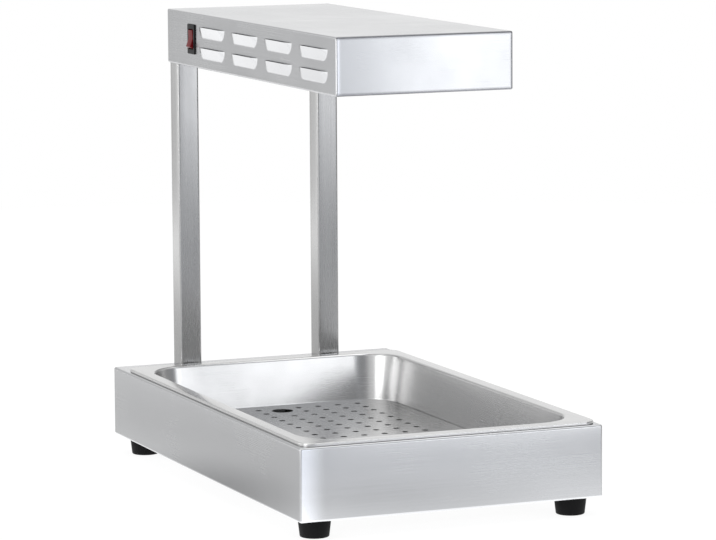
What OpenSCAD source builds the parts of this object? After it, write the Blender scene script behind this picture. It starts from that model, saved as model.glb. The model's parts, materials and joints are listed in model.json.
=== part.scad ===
// Chip warmer: a food pan set in a folded base, with a heated hood carried by two rear posts.
// Millimetres, +Z up, +Y towards the back. The origin is on the resting plane, under the middle of the outline.

/* [Pan] */
// Length of the pan over its rim
pan_l = 530; // [400:1:600]
// Width of the pan over its rim
pan_w = 325; // [260:1:400]
// Depth of the pan from the top of its rim
pan_depth = 65; // [50:1:68]
// Sheet thickness of the pan
pan_t = 0.8; // [0.6:0.1:1.5]
// Width of the pan's flat rim
pan_flange = 12.5; // [10:0.5:20]
// Height of the rim's turned edge
rim_h = 3.2; // [2.5:0.1:6]
// Outer corner radius of the rim
rim_r = 14; // [6:1:30]
// Corner radius of the pan's wall under the rim
pan_wall_r = 46; // [30:1:60]
// How far the walls lean in from the rim to the floor
pan_draft = 6; // [2:0.5:12]
// Radius between the walls and the floor
pan_bend_r = 16; // [8:1:24]

/* [Drain plate] */
// Height of the drain plate's top over the pan's floor
plate_raise = 13; // [8:0.5:20]
// Sheet thickness of the drain plate
plate_t = 1; // [0.8:0.1:2]
// Gap between the drain plate and the pan's walls
plate_gap = 3; // [1:0.5:6]
// Distance between the rows of drain holes
hole_pitch = 24; // [16:1:40]
// Diameter of a drain hole
hole_d = 7; // [4:0.5:10]
// Diameter of the finger holes that lift the plate
finger_d = 24; // [18:1:32]

/* [Base] */
// Height of the base's sides
base_h = 76; // [70:1:110]
// Sheet thickness of the base
base_t = 1.2; // [1:0.1:2]
// Outer bend radius of the base
base_r = 2.5; // [2.2:0.1:5]
// Width of the return flange under the base
base_flange = 38; // [36:1:50]
// Deck beside the pan's rim
ledge_side = 4.5; // [3:0.5:30]
// Deck in front of the pan's rim
ledge_front = 2.5; // [2:0.5:30]
// Gap between the pan's rim and the posts
pan_post_gap = 5; // [3:0.5:20]
// Play between the pan's wall and the deck's cut-out
cutout_play = 1.5; // [1:0.1:3]

/* [Feet] */
// Height of a rubber foot
foot_h = 19; // [12:0.5:40]
// Diameter of a foot at the top
foot_top_d = 34; // [28:0.5:44]
// Diameter of a foot at the bottom
foot_end_d = 30; // [24:0.5:40]
// Distance of the feet from the base's sides and front
foot_inset = 25; // [24:0.5:60]
// Distance of the rear feet from the base's back
foot_back = 33; // [24:0.5:60]

/* [Posts] */
// Width of the square tubes
post_size = 25; // [25:1:40]
// Wall of the tubes
post_t = 1.5; // [1:0.1:2.5]
// Corner radius of the tubes
post_r = 2.5; // [2:0.1:4]
// Clear height between the deck and the hood
serve_h = 341; // [200:1:450]
// Length of the threaded plugs in the tubes
insert_l = 18; // [12:1:40]
// Diameter of the posts' bolts
post_bolt_d = 6; // [5:0.5:8]

/* [Hood] */
// Width of the hood
hood_w = 195; // [180:1:260]
// Length of the hood
hood_l = 497; // [490:1:600]
// Height of the hood
hood_h = 60; // [56:1:80]
// Sheet thickness of the hood
hood_t = 1; // [0.8:0.1:1.5]
// Outer bend radius of the hood
hood_r = 1.8; // [1.7:0.1:4]
// Width of the return flange under the hood
hood_flange = 14; // [12:0.5:18]
// Width of the return flange at the hood's back
back_flange = 11; // [10:0.5:14]
// Sheet thickness of the hood's floor
floor_t = 1.2; // [1:0.1:2]
// Sheet thickness of the rear panel
rear_t = 1.2; // [1:0.1:2]
// Width of the window in the hood's floor
window_w = 120; // [80:1:130]
// Length of the wiring side, from the window to the hood's back
wiring_l = 125; // [120:1:150]
// Distance from the hood's front to the window
window_front = 32; // [31:1:50]

/* [Louvres] */
// Number of louvres in a row
louvre_count = 4; // [2:1:4]
// Number of rows
louvre_rows = 2; // [1:1:2]
// Length of a louvre at its mouth
louvre_l = 77; // [40:1:90]
// Height of a louvre
louvre_h = 12; // [10:0.5:15]
// How far a louvre stands out of the sheet
louvre_out = 3.6; // [3:0.1:6]
// Distance between the rows
louvre_row_pitch = 22.5; // [20:0.5:24]
// Height of the lower row's middle over the hood's bottom edge
louvre_low = 17.5; // [14:0.5:20]
// Distance from the hood's front to the first louvre's middle
louvre_front = 61.5; // [55:0.5:64]

/* [Switch] */
// Length of the switch's bezel, upwards
bezel_h = 33; // [30:0.5:36]
// Width of the switch's bezel
bezel_w = 22; // [20:0.5:26]
// Thickness of the bezel outside the hood
bezel_t = 1.5; // [1:0.1:3]
// Gap between the switch's body and the plate beside it
switch_gap = 5.5; // [3:0.5:12]
// Height of the switch's middle over the hood's bottom edge
switch_up = 31; // [26:0.5:34]
// Angle through which the rocker tips
rocker_travel = 16; // [8:1:20]

/* [Heater] */
// Outer diameter of a quartz tube
tube_d = 12; // [10:0.5:14]
// Distance between the two tubes
tube_pitch = 60; // [44:1:64]
// Height of the tubes' axis over the hood's floor
tube_up = 18; // [16:0.5:20]
// Height of the reflector
reflector_h = 34; // [32:0.5:35]
// Sheet thickness of the reflector and heat shield
reflector_t = 0.8; // [0.5:0.1:1.2]

/* [Guard] */
// Diameter of the guard's frame wire
frame_wire_d = 3; // [2:0.1:4]
// Diameter of the guard's cross wires
cross_wire_d = 2; // [1.5:0.1:3]
// Distance between the cross wires
wire_pitch = 25; // [15:1:40]

/* [Cord inlet] */
// Diameter of the cord's hole through the gland
cord_hole_d = 9; // [6:0.5:10]
// Thread diameter of the gland
gland_d = 16; // [14:0.5:18]
// Distance of the gland from the hood's middle
gland_x = 58; // [40:1:66]

/* [Hidden] */
$fn = 48;
eps = 0.05;

// Play between a piece and its seat
seat_gap = 0.3;
// Play between pieces that fit into each other
fit_gap = 0.1;
// Play that a screw has in its hole, all round
screw_play = 0.25;

steel = [0.75, 0.75, 0.74];
bright_steel = [0.85, 0.85, 0.84];
black = [0.08, 0.08, 0.08];
white = [0.92, 0.91, 0.88];
brass = [0.78, 0.62, 0.32];
red = [0.62, 0.06, 0.05];

// Gland: the hexagon stands on the rear panel and the dome nut stands on the hexagon
gland_hex_w = gland_d + 6;
gland_hex_t = 5;
gland_dome_l = 13;
gland_out = gland_hex_t + gland_dome_l;
gland_in = 11;
locknut_t = 4;

// The outline: the base follows the pan and the posts, and the hood ends flush with the base's back
post_back = rear_t + hood_t + seat_gap;
post_side = hood_t + seat_gap;
base_w = pan_w + 2 * ledge_side;
base_d = ledge_front + pan_l + pan_post_gap + post_size + post_back;
y_front = -(base_d + gland_out) / 2;
y_back = y_front + base_d;
deck_z = foot_h + base_h;
hood_z = deck_z + serve_h;
hood_y = y_back - hood_l;
floor_top = hood_z + hood_t + floor_t;
pan_y = y_front + ledge_front + pan_l / 2;
post_x = hood_w / 2 - post_side - post_size / 2;
post_y = y_back - post_back - post_size / 2;
hood_in_w = hood_w - 2 * hood_t;
shell_back = y_back - rear_t;

// Pan: the rim's edge hangs just over the deck
rim_z = deck_z + seat_gap + rim_h;
pan_floor_z = rim_z - pan_depth + pan_t;
pan_bend_top = 3;
edge_r = 1.2;
wall_inset = pan_flange + pan_bend_top;
cutout_w = pan_w - 2 * pan_flange + 2 * cutout_play;
cutout_l = pan_l - 2 * pan_flange + 2 * cutout_play;

// Fasteners
m4 = 4;
m5 = 5;
sunk_d = m4 + 3;
post_washer_d = 2.6 * post_bolt_d;
washer_t = 1.6;
crossmember_t = 2;
crossmember_d = 29;
crossmember_h = 14;
crossmember_end = 15;
foot_recess = 7;

// Heater: the window ends where the wiring side begins
window_l = hood_l - window_front - wiring_l;
window_y = hood_y + window_front + window_l / 2;
bracket_t = 1.5;
bracket_gap = 6;
bracket_front_y = window_y - window_l / 2 - bracket_gap;
bracket_rear_y = window_y + window_l / 2 + bracket_gap;
bracket_h = reflector_h + reflector_t + seat_gap;
bracket_side = 17;
bracket_w = window_w + 2 * bracket_side;
bracket_foot = 11;
tube_wall = 1.3;
cap_wall = 3;
cap_shoulder = 2.5;
cap_reach = 4;
cap_shank_d = tube_d + 2 * cap_wall;
cap_d = cap_shank_d + 2 * cap_shoulder;
cap_shank_l = bracket_t + cap_reach;
cap_l = 9;
cap_bore_l = 9;
cap_chamfer = 2;
tube_z = floor_top + tube_up;
tube_l = bracket_rear_y - bracket_front_y + 2 * bracket_t + 2 * (cap_bore_l - cap_shank_l) - 2 * fit_gap;
reflector_foot = 11;
reflector_side = 9;
reflector_lean = 14;
reflector_mouth = window_w + 2 * reflector_side;
ridge_h = 9;
ridge_w = 24;
shield_lip = 9;

// Studs with a washer and a nut
stud_l = 8;
stud_washer_d = 9;
stud_washer_t = 0.8;
stud_nut_w = 7;
stud_nut_h = 3.2;

// Guard: its frame lies just outside the window, and its wires are welded a little into each other
guard_edge = 1;
weld_sink = 0.3;

// Wiring side
divider_gap = 14;
divider_t = 1;
divider_foot = 12;
divider_y = bracket_rear_y + bracket_t + cap_l + divider_gap;
lead_hole_d = 10;
block_w = 46;
block_d = 20;
block_h = 18;
block_base_h = 12;
block_pitch = 15;
block_gap = 8;
block_y = post_y - post_size / 2 - block_gap - block_d / 2;
earth_x = -44;
earth_y = block_y;
gland_z = hood_z + hood_h / 2;

// Louvres: spread evenly from the first to the divider
louvre_end = 47;
louvre_pitch = (divider_y - louvre_end - hood_y - louvre_front) / (louvre_count - 1);
louvre_wall = hood_t * sqrt(louvre_h * louvre_h + louvre_out * louvre_out) / louvre_h;

// Screws of the hood's floor: three on each side, from the hood's front to the divider
floor_screw_front = 36;
floor_screw_end = 9;
floor_screw_pitch = (divider_y - hood_y - floor_screw_front - floor_screw_end) / 2;

// Switch
switch_wall = hood_w / 2;
switch_rim = 2;
body_h = bezel_h - 2 * switch_rim;
body_w = bezel_w - 2 * switch_rim;
body_depth = 22;
rocker_rim = 4;
rocker_h = body_h - 2 * rocker_rim;
rocker_wall = 2.5;
rocker_w = body_w - 2 * rocker_wall;
rocker_gap = 0.5;
rocker_depth = 9;
pivot_in = 1.5;
pivot_d = 2.4;
pivot_play = 0.05;
pivot_wall = 1;
switch_y = divider_y + divider_t + switch_gap + body_w / 2;
switch_z = hood_z + switch_up;

// A rectangle with round corners, centred
module round_rect(w, d, r) {
    square([w - 2 * r, d], center = true);
    square([w, d - 2 * r], center = true);
    for (x = [-1, 1], y = [-1, 1]) {
        translate([x * (w / 2 - r), y * (d / 2 - r)]) circle(r);
    }
}

// An upright rectangle whose two top corners are round, centred in x and standing on y = 0
module round_top(w, h, r) {
    translate([-w / 2, 0]) square([w, h - r]);
    translate([-w / 2 + r, 0]) square([w - 2 * r, h]);
    for (x = [-1, 1]) {
        translate([x * (w / 2 - r), h - r]) circle(r);
    }
}

// A folded box: round upright edges and round top edges, centred in x and y and standing on z = 0
module folded_box(w, d, h, r) {
    intersection() {
        linear_extrude(h) round_rect(w, d, r);
        translate([0, d / 2, 0]) rotate([90, 0, 0]) linear_extrude(d) round_top(w, h, r);
        translate([-w / 2, 0, 0]) rotate([90, 0, 90]) linear_extrude(w) round_top(d, h, r);
    }
}

module hexagon(across_flats, h) {
    cylinder(d = across_flats / cos(30), h = h, $fn = 6);
}

// Places children at the four foot centres
module at_feet() {
    for (x = [-1, 1], y = [y_front + foot_inset, y_back - foot_back]) {
        translate([x * (base_w / 2 - foot_inset), y, 0]) children();
    }
}

// Places children at the two post centres
module at_posts() {
    for (x = [-1, 1]) {
        translate([x * post_x, post_y, 0]) children();
    }
}

// Base

module base_shell() {
    color(steel) difference() {
        translate([0, (y_front + y_back) / 2, foot_h]) folded_box(base_w, base_d, base_h, base_r);
        translate([0, (y_front + y_back) / 2, foot_h + base_t])
            folded_box(base_w - 2 * base_t, base_d - 2 * base_t, base_h - 2 * base_t, base_r - base_t);
        translate([0, (y_front + y_back) / 2, foot_h - 1]) linear_extrude(base_t + 2)
            round_rect(base_w - 2 * base_flange, base_d - 2 * base_flange, 8);
        translate([0, pan_y, deck_z - base_t - 1]) linear_extrude(base_t + 2)
            round_rect(cutout_w, cutout_l, pan_wall_r);
        at_posts() translate([0, 0, deck_z - base_t - 1])
            cylinder(d = post_bolt_d + 2 * screw_play, h = base_t + 2);
        at_feet() translate([0, 0, foot_h - 1]) cylinder(d = m5 + 2 * screw_play, h = base_t + 2);
    }
}

// Folded channel under the rear ledge, clear of the inside of the base's rear fold
module base_crossmember() {
    w = 2 * post_x + post_size + 2 * crossmember_end;
    y0 = y_back - base_r - seat_gap - crossmember_d;
    color(steel) difference() {
        translate([-w / 2, y0, deck_z - base_t - crossmember_h])
            cube([w, crossmember_d, crossmember_h]);
        translate([-w / 2 - 1, y0 + crossmember_t, deck_z - base_t - crossmember_h - 1])
            cube([w + 2, crossmember_d - 2 * crossmember_t, crossmember_h - crossmember_t + 1]);
        at_posts() translate([0, 0, deck_z - base_t - crossmember_t - 1])
            cylinder(d = post_bolt_d + 2 * screw_play, h = crossmember_t + 2);
    }
}

// Tapered rubber foot with a recess for its screw's head
module foot(x, y) {
    edge = 1.2;
    color(black) translate([x, y, 0]) rotate_extrude() difference() {
        union() {
            polygon([
                [0, 0], [foot_end_d / 2 - edge, 0], [foot_end_d / 2 - edge, edge],
                [foot_end_d / 2, edge], [foot_top_d / 2, foot_h], [0, foot_h]
            ]);
            translate([foot_end_d / 2 - edge, edge]) intersection() {
                circle(edge);
                translate([0, -edge]) square(edge);
            }
        }
        square([m5 / 2 + screw_play, foot_h]);
        square([6, foot_recess]);
    }
}

module foot_front_left() {
    foot(-(base_w / 2 - foot_inset), y_front + foot_inset);
}

module foot_front_right() {
    foot(base_w / 2 - foot_inset, y_front + foot_inset);
}

module foot_rear_left() {
    foot(-(base_w / 2 - foot_inset), y_back - foot_back);
}

module foot_rear_right() {
    foot(base_w / 2 - foot_inset, y_back - foot_back);
}

module foot_screws() {
    head_h = 2.8;
    shank_l = foot_h - foot_recess + base_t + 7;
    color(bright_steel) at_feet() translate([0, 0, foot_recess - head_h]) difference() {
        union() {
            cylinder(d = 9.5, h = head_h);
            cylinder(d = m5, h = head_h + shank_l);
        }
        translate([0, 0, -1]) hexagon(3, 2.6);
    }
}

module foot_nuts() {
    color(bright_steel) at_feet() translate([0, 0, foot_h + base_t]) difference() {
        union() {
            cylinder(d = 12, h = 1);
            hexagon(8, 5);
        }
        translate([0, 0, -1]) cylinder(d = m5 + 2 * fit_gap, h = 7);
    }
}

// Pan and drain plate

// Carries a profile round a rectangle with round corners. The profile's x counts from the corner's axis.
module carry_round(w, l, r) {
    for (x = [-1, 1], y = [-1, 1]) {
        translate([x * (w / 2 - r), y * (l / 2 - r), 0])
            rotate([0, 0, x > 0 ? (y > 0 ? 0 : 270) : (y > 0 ? 90 : 180)])
                rotate_extrude(angle = 90) children();
    }
    for (s = [0, 1]) {
        rotate([0, 0, s * 180]) {
            translate([w / 2 - r, 0, 0]) rotate([90, 0, 0])
                linear_extrude(l - 2 * r, center = true) children();
            translate([0, l / 2 - r, 0]) rotate([90, 0, 90])
                linear_extrude(w - 2 * r, center = true) children();
        }
    }
}

// Part of a bend in the sheet: a ring between two angles less than 180 degrees apart
module bend(r_out, t, a0, a1) {
    far = 3 * r_out;
    intersection() {
        difference() {
            circle(r_out);
            circle(r_out - t);
        }
        polygon([
            [0, 0], [far * cos(a0), far * sin(a0)],
            [far * cos((a0 + a1) / 2), far * sin((a0 + a1) / 2)], [far * cos(a1), far * sin(a1)]
        ]);
    }
}

// The wall's lean, and the axes of its two bends, counted from the corner's axis
wall_lean = atan(pan_draft / (pan_depth - pan_t - pan_bend_top - pan_bend_r));
top_bend_x = pan_wall_r;
top_bend_z = rim_z - pan_bend_top;
low_bend_z = pan_floor_z + pan_bend_r;
low_bend_x = top_bend_x - (pan_bend_top + pan_bend_r) / cos(wall_lean)
    - (top_bend_z - low_bend_z) * tan(wall_lean);
wall_w = pan_w - 2 * pan_flange;
wall_l = pan_l - 2 * pan_flange;

module pan_wall_profile() {
    dir = [cos(wall_lean), -sin(wall_lean)];
    low = [low_bend_x, low_bend_z];
    top = [top_bend_x, top_bend_z];
    translate(low) bend(pan_bend_r + pan_t, pan_t, -90, -wall_lean);
    translate(top) bend(pan_bend_top, pan_t, 90, 180 - wall_lean);
    polygon([
        low + pan_bend_r * dir, low + (pan_bend_r + pan_t) * dir,
        top - (pan_bend_top - pan_t) * dir, top - pan_bend_top * dir
    ]);
}

module rim_edge_profile() {
    translate([rim_r - edge_r, rim_z - edge_r]) bend(edge_r, pan_t, 0, 90);
    translate([rim_r - pan_t, rim_z - rim_h]) square([pan_t, rim_h - edge_r]);
}

module gn_pan() {
    floor_inset = pan_wall_r - low_bend_x;
    color(bright_steel) translate([0, pan_y, 0]) {
        carry_round(wall_w, wall_l, pan_wall_r) pan_wall_profile();
        carry_round(pan_w, pan_l, rim_r) rim_edge_profile();
        translate([0, 0, pan_floor_z - pan_t]) linear_extrude(pan_t)
            round_rect(wall_w - 2 * floor_inset, wall_l - 2 * floor_inset, low_bend_x);
        translate([0, 0, rim_z - pan_t]) linear_extrude(pan_t) difference() {
            round_rect(pan_w - 2 * edge_r, pan_l - 2 * edge_r, rim_r - edge_r);
            round_rect(wall_w, wall_l, pan_wall_r);
        }
    }
}

module drain_plate() {
    inset = wall_inset + pan_draft + plate_gap;
    w = pan_w - 2 * inset;
    l = pan_l - 2 * inset;
    runner_inset = pan_bend_r + 4;
    nx = floor((w - 2 * hole_pitch) / hole_pitch / 2);
    ny = floor((l - 2 * hole_pitch) / hole_pitch / 2);
    finger_y = l / 2 - 3 * hole_pitch / 2;
    bottom = pan_floor_z + seat_gap;
    color(bright_steel) translate([0, pan_y, 0]) {
        translate([0, 0, pan_floor_z + plate_raise - plate_t]) linear_extrude(plate_t) difference() {
            round_rect(w, l, pan_wall_r - pan_draft - pan_bend_top - plate_gap);
            for (i = [-nx:nx], j = [-ny:ny]) {
                if (abs(i) > 0 || abs(abs(j * hole_pitch) - finger_y) > (finger_d + hole_d) / 2 + 2)
                    translate([i * hole_pitch, j * hole_pitch]) circle(d = hole_d, $fn = 24);
            }
            for (s = [-1, 1]) {
                translate([0, s * finger_y]) circle(d = finger_d);
            }
        }
        for (s = [-1, 1]) {
            translate([s * (w / 2 - runner_inset) - plate_t / 2, -l / 2 + runner_inset, bottom])
                cube([plate_t, l - 2 * runner_inset, plate_raise - plate_t - seat_gap + eps]);
        }
    }
}

// Posts

module post(side) {
    color(steel) translate([side * post_x, post_y, deck_z])
        linear_extrude(serve_h + hood_t) difference() {
            round_rect(post_size, post_size, post_r);
            round_rect(post_size - 2 * post_t, post_size - 2 * post_t, post_r - post_t);
        }
}

module post_left() {
    post(-1);
}

module post_right() {
    post(1);
}

// Threaded plugs in both ends of each tube
module post_inserts() {
    w = post_size - 2 * post_t - 2 * fit_gap;
    color(steel) at_posts() {
        for (z = [deck_z, deck_z + serve_h + hood_t - insert_l]) {
            translate([0, 0, z]) difference() {
                linear_extrude(insert_l) round_rect(w, w, post_r - post_t);
                translate([0, 0, -1]) cylinder(d = post_bolt_d + 2 * fit_gap, h = insert_l + 2);
            }
        }
    }
}

// A hexagon bolt that points up from z = 0, with its head and washer below
module post_bolt(shank_l) {
    head_h = 0.65 * post_bolt_d;
    color(bright_steel) {
        cylinder(d = post_bolt_d, h = shank_l);
        translate([0, 0, -washer_t]) cylinder(d = post_washer_d, h = washer_t);
        translate([0, 0, -washer_t - head_h]) hexagon(1.65 * post_bolt_d, head_h + eps);
    }
}

module lower_post_bolts() {
    z = deck_z - base_t - crossmember_t;
    at_posts() translate([0, 0, z]) post_bolt(base_t + crossmember_t + insert_l - 3);
}

module upper_post_bolts() {
    z = floor_top + crossmember_t;
    at_posts() translate([0, 0, z]) mirror([0, 0, 1])
        post_bolt(floor_t + crossmember_t + insert_l - 3);
}

// Hood

// The form that a louvre is pressed to: an even slope that falls from the mouth's lip to the sheet, with
// a half cone at each end, so that it leaves the sheet in a D outline. It runs outwards from x = base and
// comes to a ridge at x = ridge, level with the mouth; its lower half is the louvre
module louvre_form(base, ridge) {
    half = louvre_l / 2 - louvre_h;
    deep = ridge - base;
    r = deep * louvre_h / louvre_out;
    for (s = [-1, 1]) {
        translate([base, s * half, 0]) rotate([0, 90, 0]) cylinder(r1 = r, r2 = 0, h = deep, $fn = 96);
    }
    translate([base, 0, 0]) rotate([90, 0, 0])
        linear_extrude(height = 2 * half, center = true) polygon([[0, -r], [deep, 0], [0, r]]);
}

// Places children at each louvre's mouth line, on the outer face of both sides
module at_louvres() {
    for (side = [-1, 1], i = [0:louvre_count - 1], row = [0:louvre_rows - 1]) {
        translate([
            side * hood_w / 2, hood_y + louvre_front + i * louvre_pitch,
            hood_z + louvre_low + row * louvre_row_pitch + louvre_h / 2
        ])
            mirror([side < 0 ? 1 : 0, 0, 0]) children();
    }
}

// What one louvre adds outside the sheet
module louvre_skin() {
    intersection() {
        louvre_form(-hood_t / 2, louvre_out);
        translate([-hood_t, -louvre_l, -2 * louvre_h])
            cube([hood_t + louvre_out + 1, 2 * louvre_l, 2 * louvre_h]);
    }
}

// What one louvre opens through the sheet
module louvre_hollow() {
    intersection() {
        louvre_form(-hood_t - eps, louvre_out - louvre_wall);
        translate([-hood_t - 1, -louvre_l, -2 * louvre_h])
            cube([hood_t + louvre_out + 1, 2 * louvre_l, 2 * louvre_h + eps]);
    }
}

module hood_shell() {
    shell_l = shell_back - hood_y;
    long = shell_l + 2 * hood_r;
    notch_x = post_x - post_size / 2 - seat_gap;
    notch_y = post_y - post_size / 2 - seat_gap;
    color(steel) difference() {
        union() {
            intersection() {
                translate([0, hood_y + long / 2, hood_z]) folded_box(hood_w, long, hood_h, hood_r);
                translate([-hood_w, hood_y - 1, hood_z - 1]) cube([2 * hood_w, shell_l + 1, hood_h + 2]);
            }
            at_louvres() louvre_skin();
        }
        intersection() {
            translate([0, hood_y + hood_t + long / 2, hood_z + hood_t])
                folded_box(hood_in_w, long, hood_h - 2 * hood_t, hood_r - hood_t);
            translate([-hood_w, hood_y - 1, hood_z - 1])
                cube([2 * hood_w, shell_l - hood_t + 1, hood_h + 2]);
        }
        translate([-hood_w / 2 + hood_flange, hood_y + hood_flange, hood_z - 1])
            cube([hood_w - 2 * hood_flange, hood_l, hood_t + 2]);
        translate([-hood_w / 2 + back_flange, shell_back - 5, hood_z - 1])
            cube([hood_w - 2 * back_flange, 10, hood_h - back_flange + 1]);
        for (x = [0, 1]) {
            mirror([x, 0, 0]) translate([notch_x, notch_y, hood_z - 1])
                cube([hood_in_w / 2 - notch_x, shell_back - hood_t - notch_y, hood_t + 1 + eps]);
        }
        at_louvres() louvre_hollow();
        translate([-switch_wall - 1, switch_y - body_w / 2 - fit_gap, switch_z - body_h / 2 - fit_gap])
            cube([hood_t + 2, body_w + 2 * fit_gap, body_h + 2 * fit_gap]);
        at_floor_screws() {
            translate([0, 0, -eps])
                cylinder(d1 = sunk_d + 2 * fit_gap, d2 = m4 + 2 * fit_gap, h = hood_t + 2 * eps);
        }
        at_rear_screws() translate([0, 0, -1]) cylinder(d = m4 + 2 * screw_play, h = hood_t + 2);
    }
}

// Places children at the screws of the hood's floor, on the flange's lower face
module at_floor_screws() {
    for (x = [-1, 1], k = [0:2]) {
        translate([
            x * (hood_w / 2 - hood_flange / 2),
            hood_y + floor_screw_front + k * floor_screw_pitch, hood_z
        ])
            children();
    }
}

// Places children at the screws of the rear panel, on the hood's rear flange, with +Z to the front
module at_rear_screws() {
    for (x = [-1, 1], z = [14, hood_h - back_flange / 2]) {
        translate([x * (hood_w / 2 - back_flange / 2 - hood_t / 2), shell_back, hood_z + z])
            rotate([90, 0, 0]) children();
    }
}

// Domed screw head below z = 0 with a shank that runs up
module pan_screw(shank_l) {
    head_h = 2.4;
    head_r = 2.3 * head_h;
    color(bright_steel) difference() {
        union() {
            cylinder(d = m4, h = shank_l);
            translate([0, 0, -head_h]) rotate_extrude() intersection() {
                translate([0, head_r]) circle(head_r);
                square([m4, head_h]);
            }
        }
        translate([0, 0, -head_h - 1]) hexagon(2.5, 2.4);
    }
}

module hood_floor() {
    w = hood_in_w - 2 * seat_gap;
    y0 = hood_y + hood_t + seat_gap;
    l = shell_back - hood_t - seat_gap - y0;
    color(steel) difference() {
        translate([-w / 2, y0, hood_z + hood_t]) cube([w, l, floor_t]);
        translate([0, window_y, hood_z]) linear_extrude(hood_t + floor_t + 1)
            round_rect(window_w, window_l, 6);
        at_floor_screws() cylinder(d = m4 + 2 * fit_gap, h = hood_t + floor_t + 1);
        at_posts() translate([0, 0, hood_z]) cylinder(d = post_bolt_d + 2 * screw_play, h = floor_t + 2);
        translate([earth_x, earth_y, hood_z]) cylinder(d = m4 + 2 * fit_gap, h = floor_t + 2);
    }
}

// Countersunk screws, flush with the hood's lower flange
module hood_floor_screws() {
    color(bright_steel) at_floor_screws() {
        difference() {
            union() {
                cylinder(d = m4, h = hood_t + floor_t + 3);
                cylinder(d1 = sunk_d, d2 = m4, h = hood_t);
            }
            translate([0, 0, -1]) hexagon(2.5, 2);
        }
    }
}

module hood_rear_panel() {
    edge = 0.5;
    color(steel) difference() {
        translate([0, y_back, hood_z + hood_h / 2]) rotate([90, 0, 0])
            linear_extrude(rear_t) round_rect(hood_w - 2 * edge, hood_h - 2 * edge, hood_r);
        translate([gland_x, y_back + 1, gland_z]) rotate([90, 0, 0])
            cylinder(d = gland_d + 2 * screw_play, h = rear_t + 2);
        at_rear_screws() translate([0, 0, -rear_t - 1]) cylinder(d = m4 + 2 * screw_play, h = rear_t + 2);
    }
}

module rear_panel_screws() {
    at_rear_screws() translate([0, 0, -rear_t]) pan_screw(rear_t + hood_t + 3);
}

// Stiffener over the hood's floor, between the posts' bolts
module hood_crossmember() {
    w = 2 * post_x + post_size - 1;
    d = post_size - 1;
    lip_h = 12;
    color(steel) difference() {
        translate([-w / 2, post_y - d / 2, floor_top]) cube([w, d, lip_h]);
        translate([-w / 2 - 1, post_y - d / 2 + crossmember_t, floor_top + crossmember_t])
            cube([w + 2, d, lip_h]);
        at_posts() translate([0, 0, floor_top - 1])
            cylinder(d = post_bolt_d + 2 * screw_play, h = crossmember_t + 2);
    }
}

// Plate between the hot side and the wiring side
module hood_divider() {
    w = hood_in_w - 2 * seat_gap;
    h = hood_h - 2 * hood_t - floor_t - seat_gap;
    color(steel) difference() {
        translate([-w / 2, divider_y, floor_top]) cube([w, divider_foot, h]);
        translate([-w / 2 - 1, divider_y + divider_t, floor_top + divider_t])
            cube([w + 2, divider_foot, h]);
        for (x = [-1, 1]) {
            translate([x * tube_pitch / 2, divider_y + divider_t + 1, tube_z + tube_d / 2]) rotate([90, 0, 0])
                cylinder(d = lead_hole_d, h = divider_t + 2);
        }
    }
}

// Reflector: a folded line with two bays, one over each tube
module reflector() {
    foot_x = reflector_mouth / 2;
    top_x = foot_x - reflector_lean;
    ridge_x = ridge_w / 2;
    t = reflector_t;
    color(bright_steel) translate([0, bracket_rear_y - fit_gap, floor_top])
        rotate([90, 0, 0]) linear_extrude(window_l + 2 * bracket_gap - 2 * fit_gap) difference() {
            polygon([
                [-foot_x - reflector_foot, 0], [-foot_x - reflector_foot, t], [-foot_x, t],
                [-top_x, reflector_h], [-ridge_x, reflector_h], [0, reflector_h - ridge_h],
                [ridge_x, reflector_h], [top_x, reflector_h], [foot_x, t],
                [foot_x + reflector_foot, t], [foot_x + reflector_foot, 0]
            ]);
            polygon([
                [-foot_x + t, -eps], [-foot_x + t, 0], [-top_x + t / 2, reflector_h - t],
                [-ridge_x - t / 2, reflector_h - t], [0, reflector_h - ridge_h - 1.5 * t],
                [ridge_x + t / 2, reflector_h - t], [top_x - t / 2, reflector_h - t],
                [foot_x - t, 0], [foot_x - t, -eps]
            ]);
        }
}

// Heat shield: a tray upside down, which rests on both heater brackets
module heat_shield() {
    w = bracket_w + 2 * seat_gap + 2 * reflector_t;
    y0 = bracket_front_y - bracket_t;
    l = bracket_rear_y + bracket_t - y0;
    color(bright_steel) difference() {
        translate([-w / 2, y0, floor_top + bracket_h - shield_lip]) cube([w, l, shield_lip + reflector_t]);
        translate([-w / 2 + reflector_t, y0 - 1, floor_top + bracket_h - shield_lip - 1])
            cube([w - 2 * reflector_t, l + 2, shield_lip + 1]);
    }
}

// Upright plate that carries the ceramic ends of both tubes. dir = 1 puts the foot towards the back.
module heater_bracket(y, dir) {
    color(steel) translate([0, y, 0]) mirror([0, dir < 0 ? 1 : 0, 0]) difference() {
        union() {
            translate([-bracket_w / 2, 0, floor_top]) cube([bracket_w, bracket_t, bracket_h]);
            translate([-bracket_w / 2, 0, floor_top]) cube([bracket_w, bracket_foot, bracket_t]);
        }
        for (x = [-1, 1]) {
            translate([x * tube_pitch / 2, bracket_t + 1, tube_z]) rotate([90, 0, 0])
                cylinder(d = cap_shank_d + 2 * fit_gap, h = bracket_t + 2);
        }
    }
}

module heater_bracket_front() {
    heater_bracket(bracket_front_y, -1);
}

module heater_bracket_rear() {
    heater_bracket(bracket_rear_y, 1);
}

// Places children at each tube end, on the bracket's outer face, with +Z out along the tube
module at_tube_ends() {
    for (x = [-1, 1]) {
        translate([x * tube_pitch / 2, bracket_front_y - bracket_t, tube_z]) rotate([90, 0, 0]) children();
        translate([x * tube_pitch / 2, bracket_rear_y + bracket_t, tube_z]) rotate([-90, 0, 0]) children();
    }
}

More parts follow.
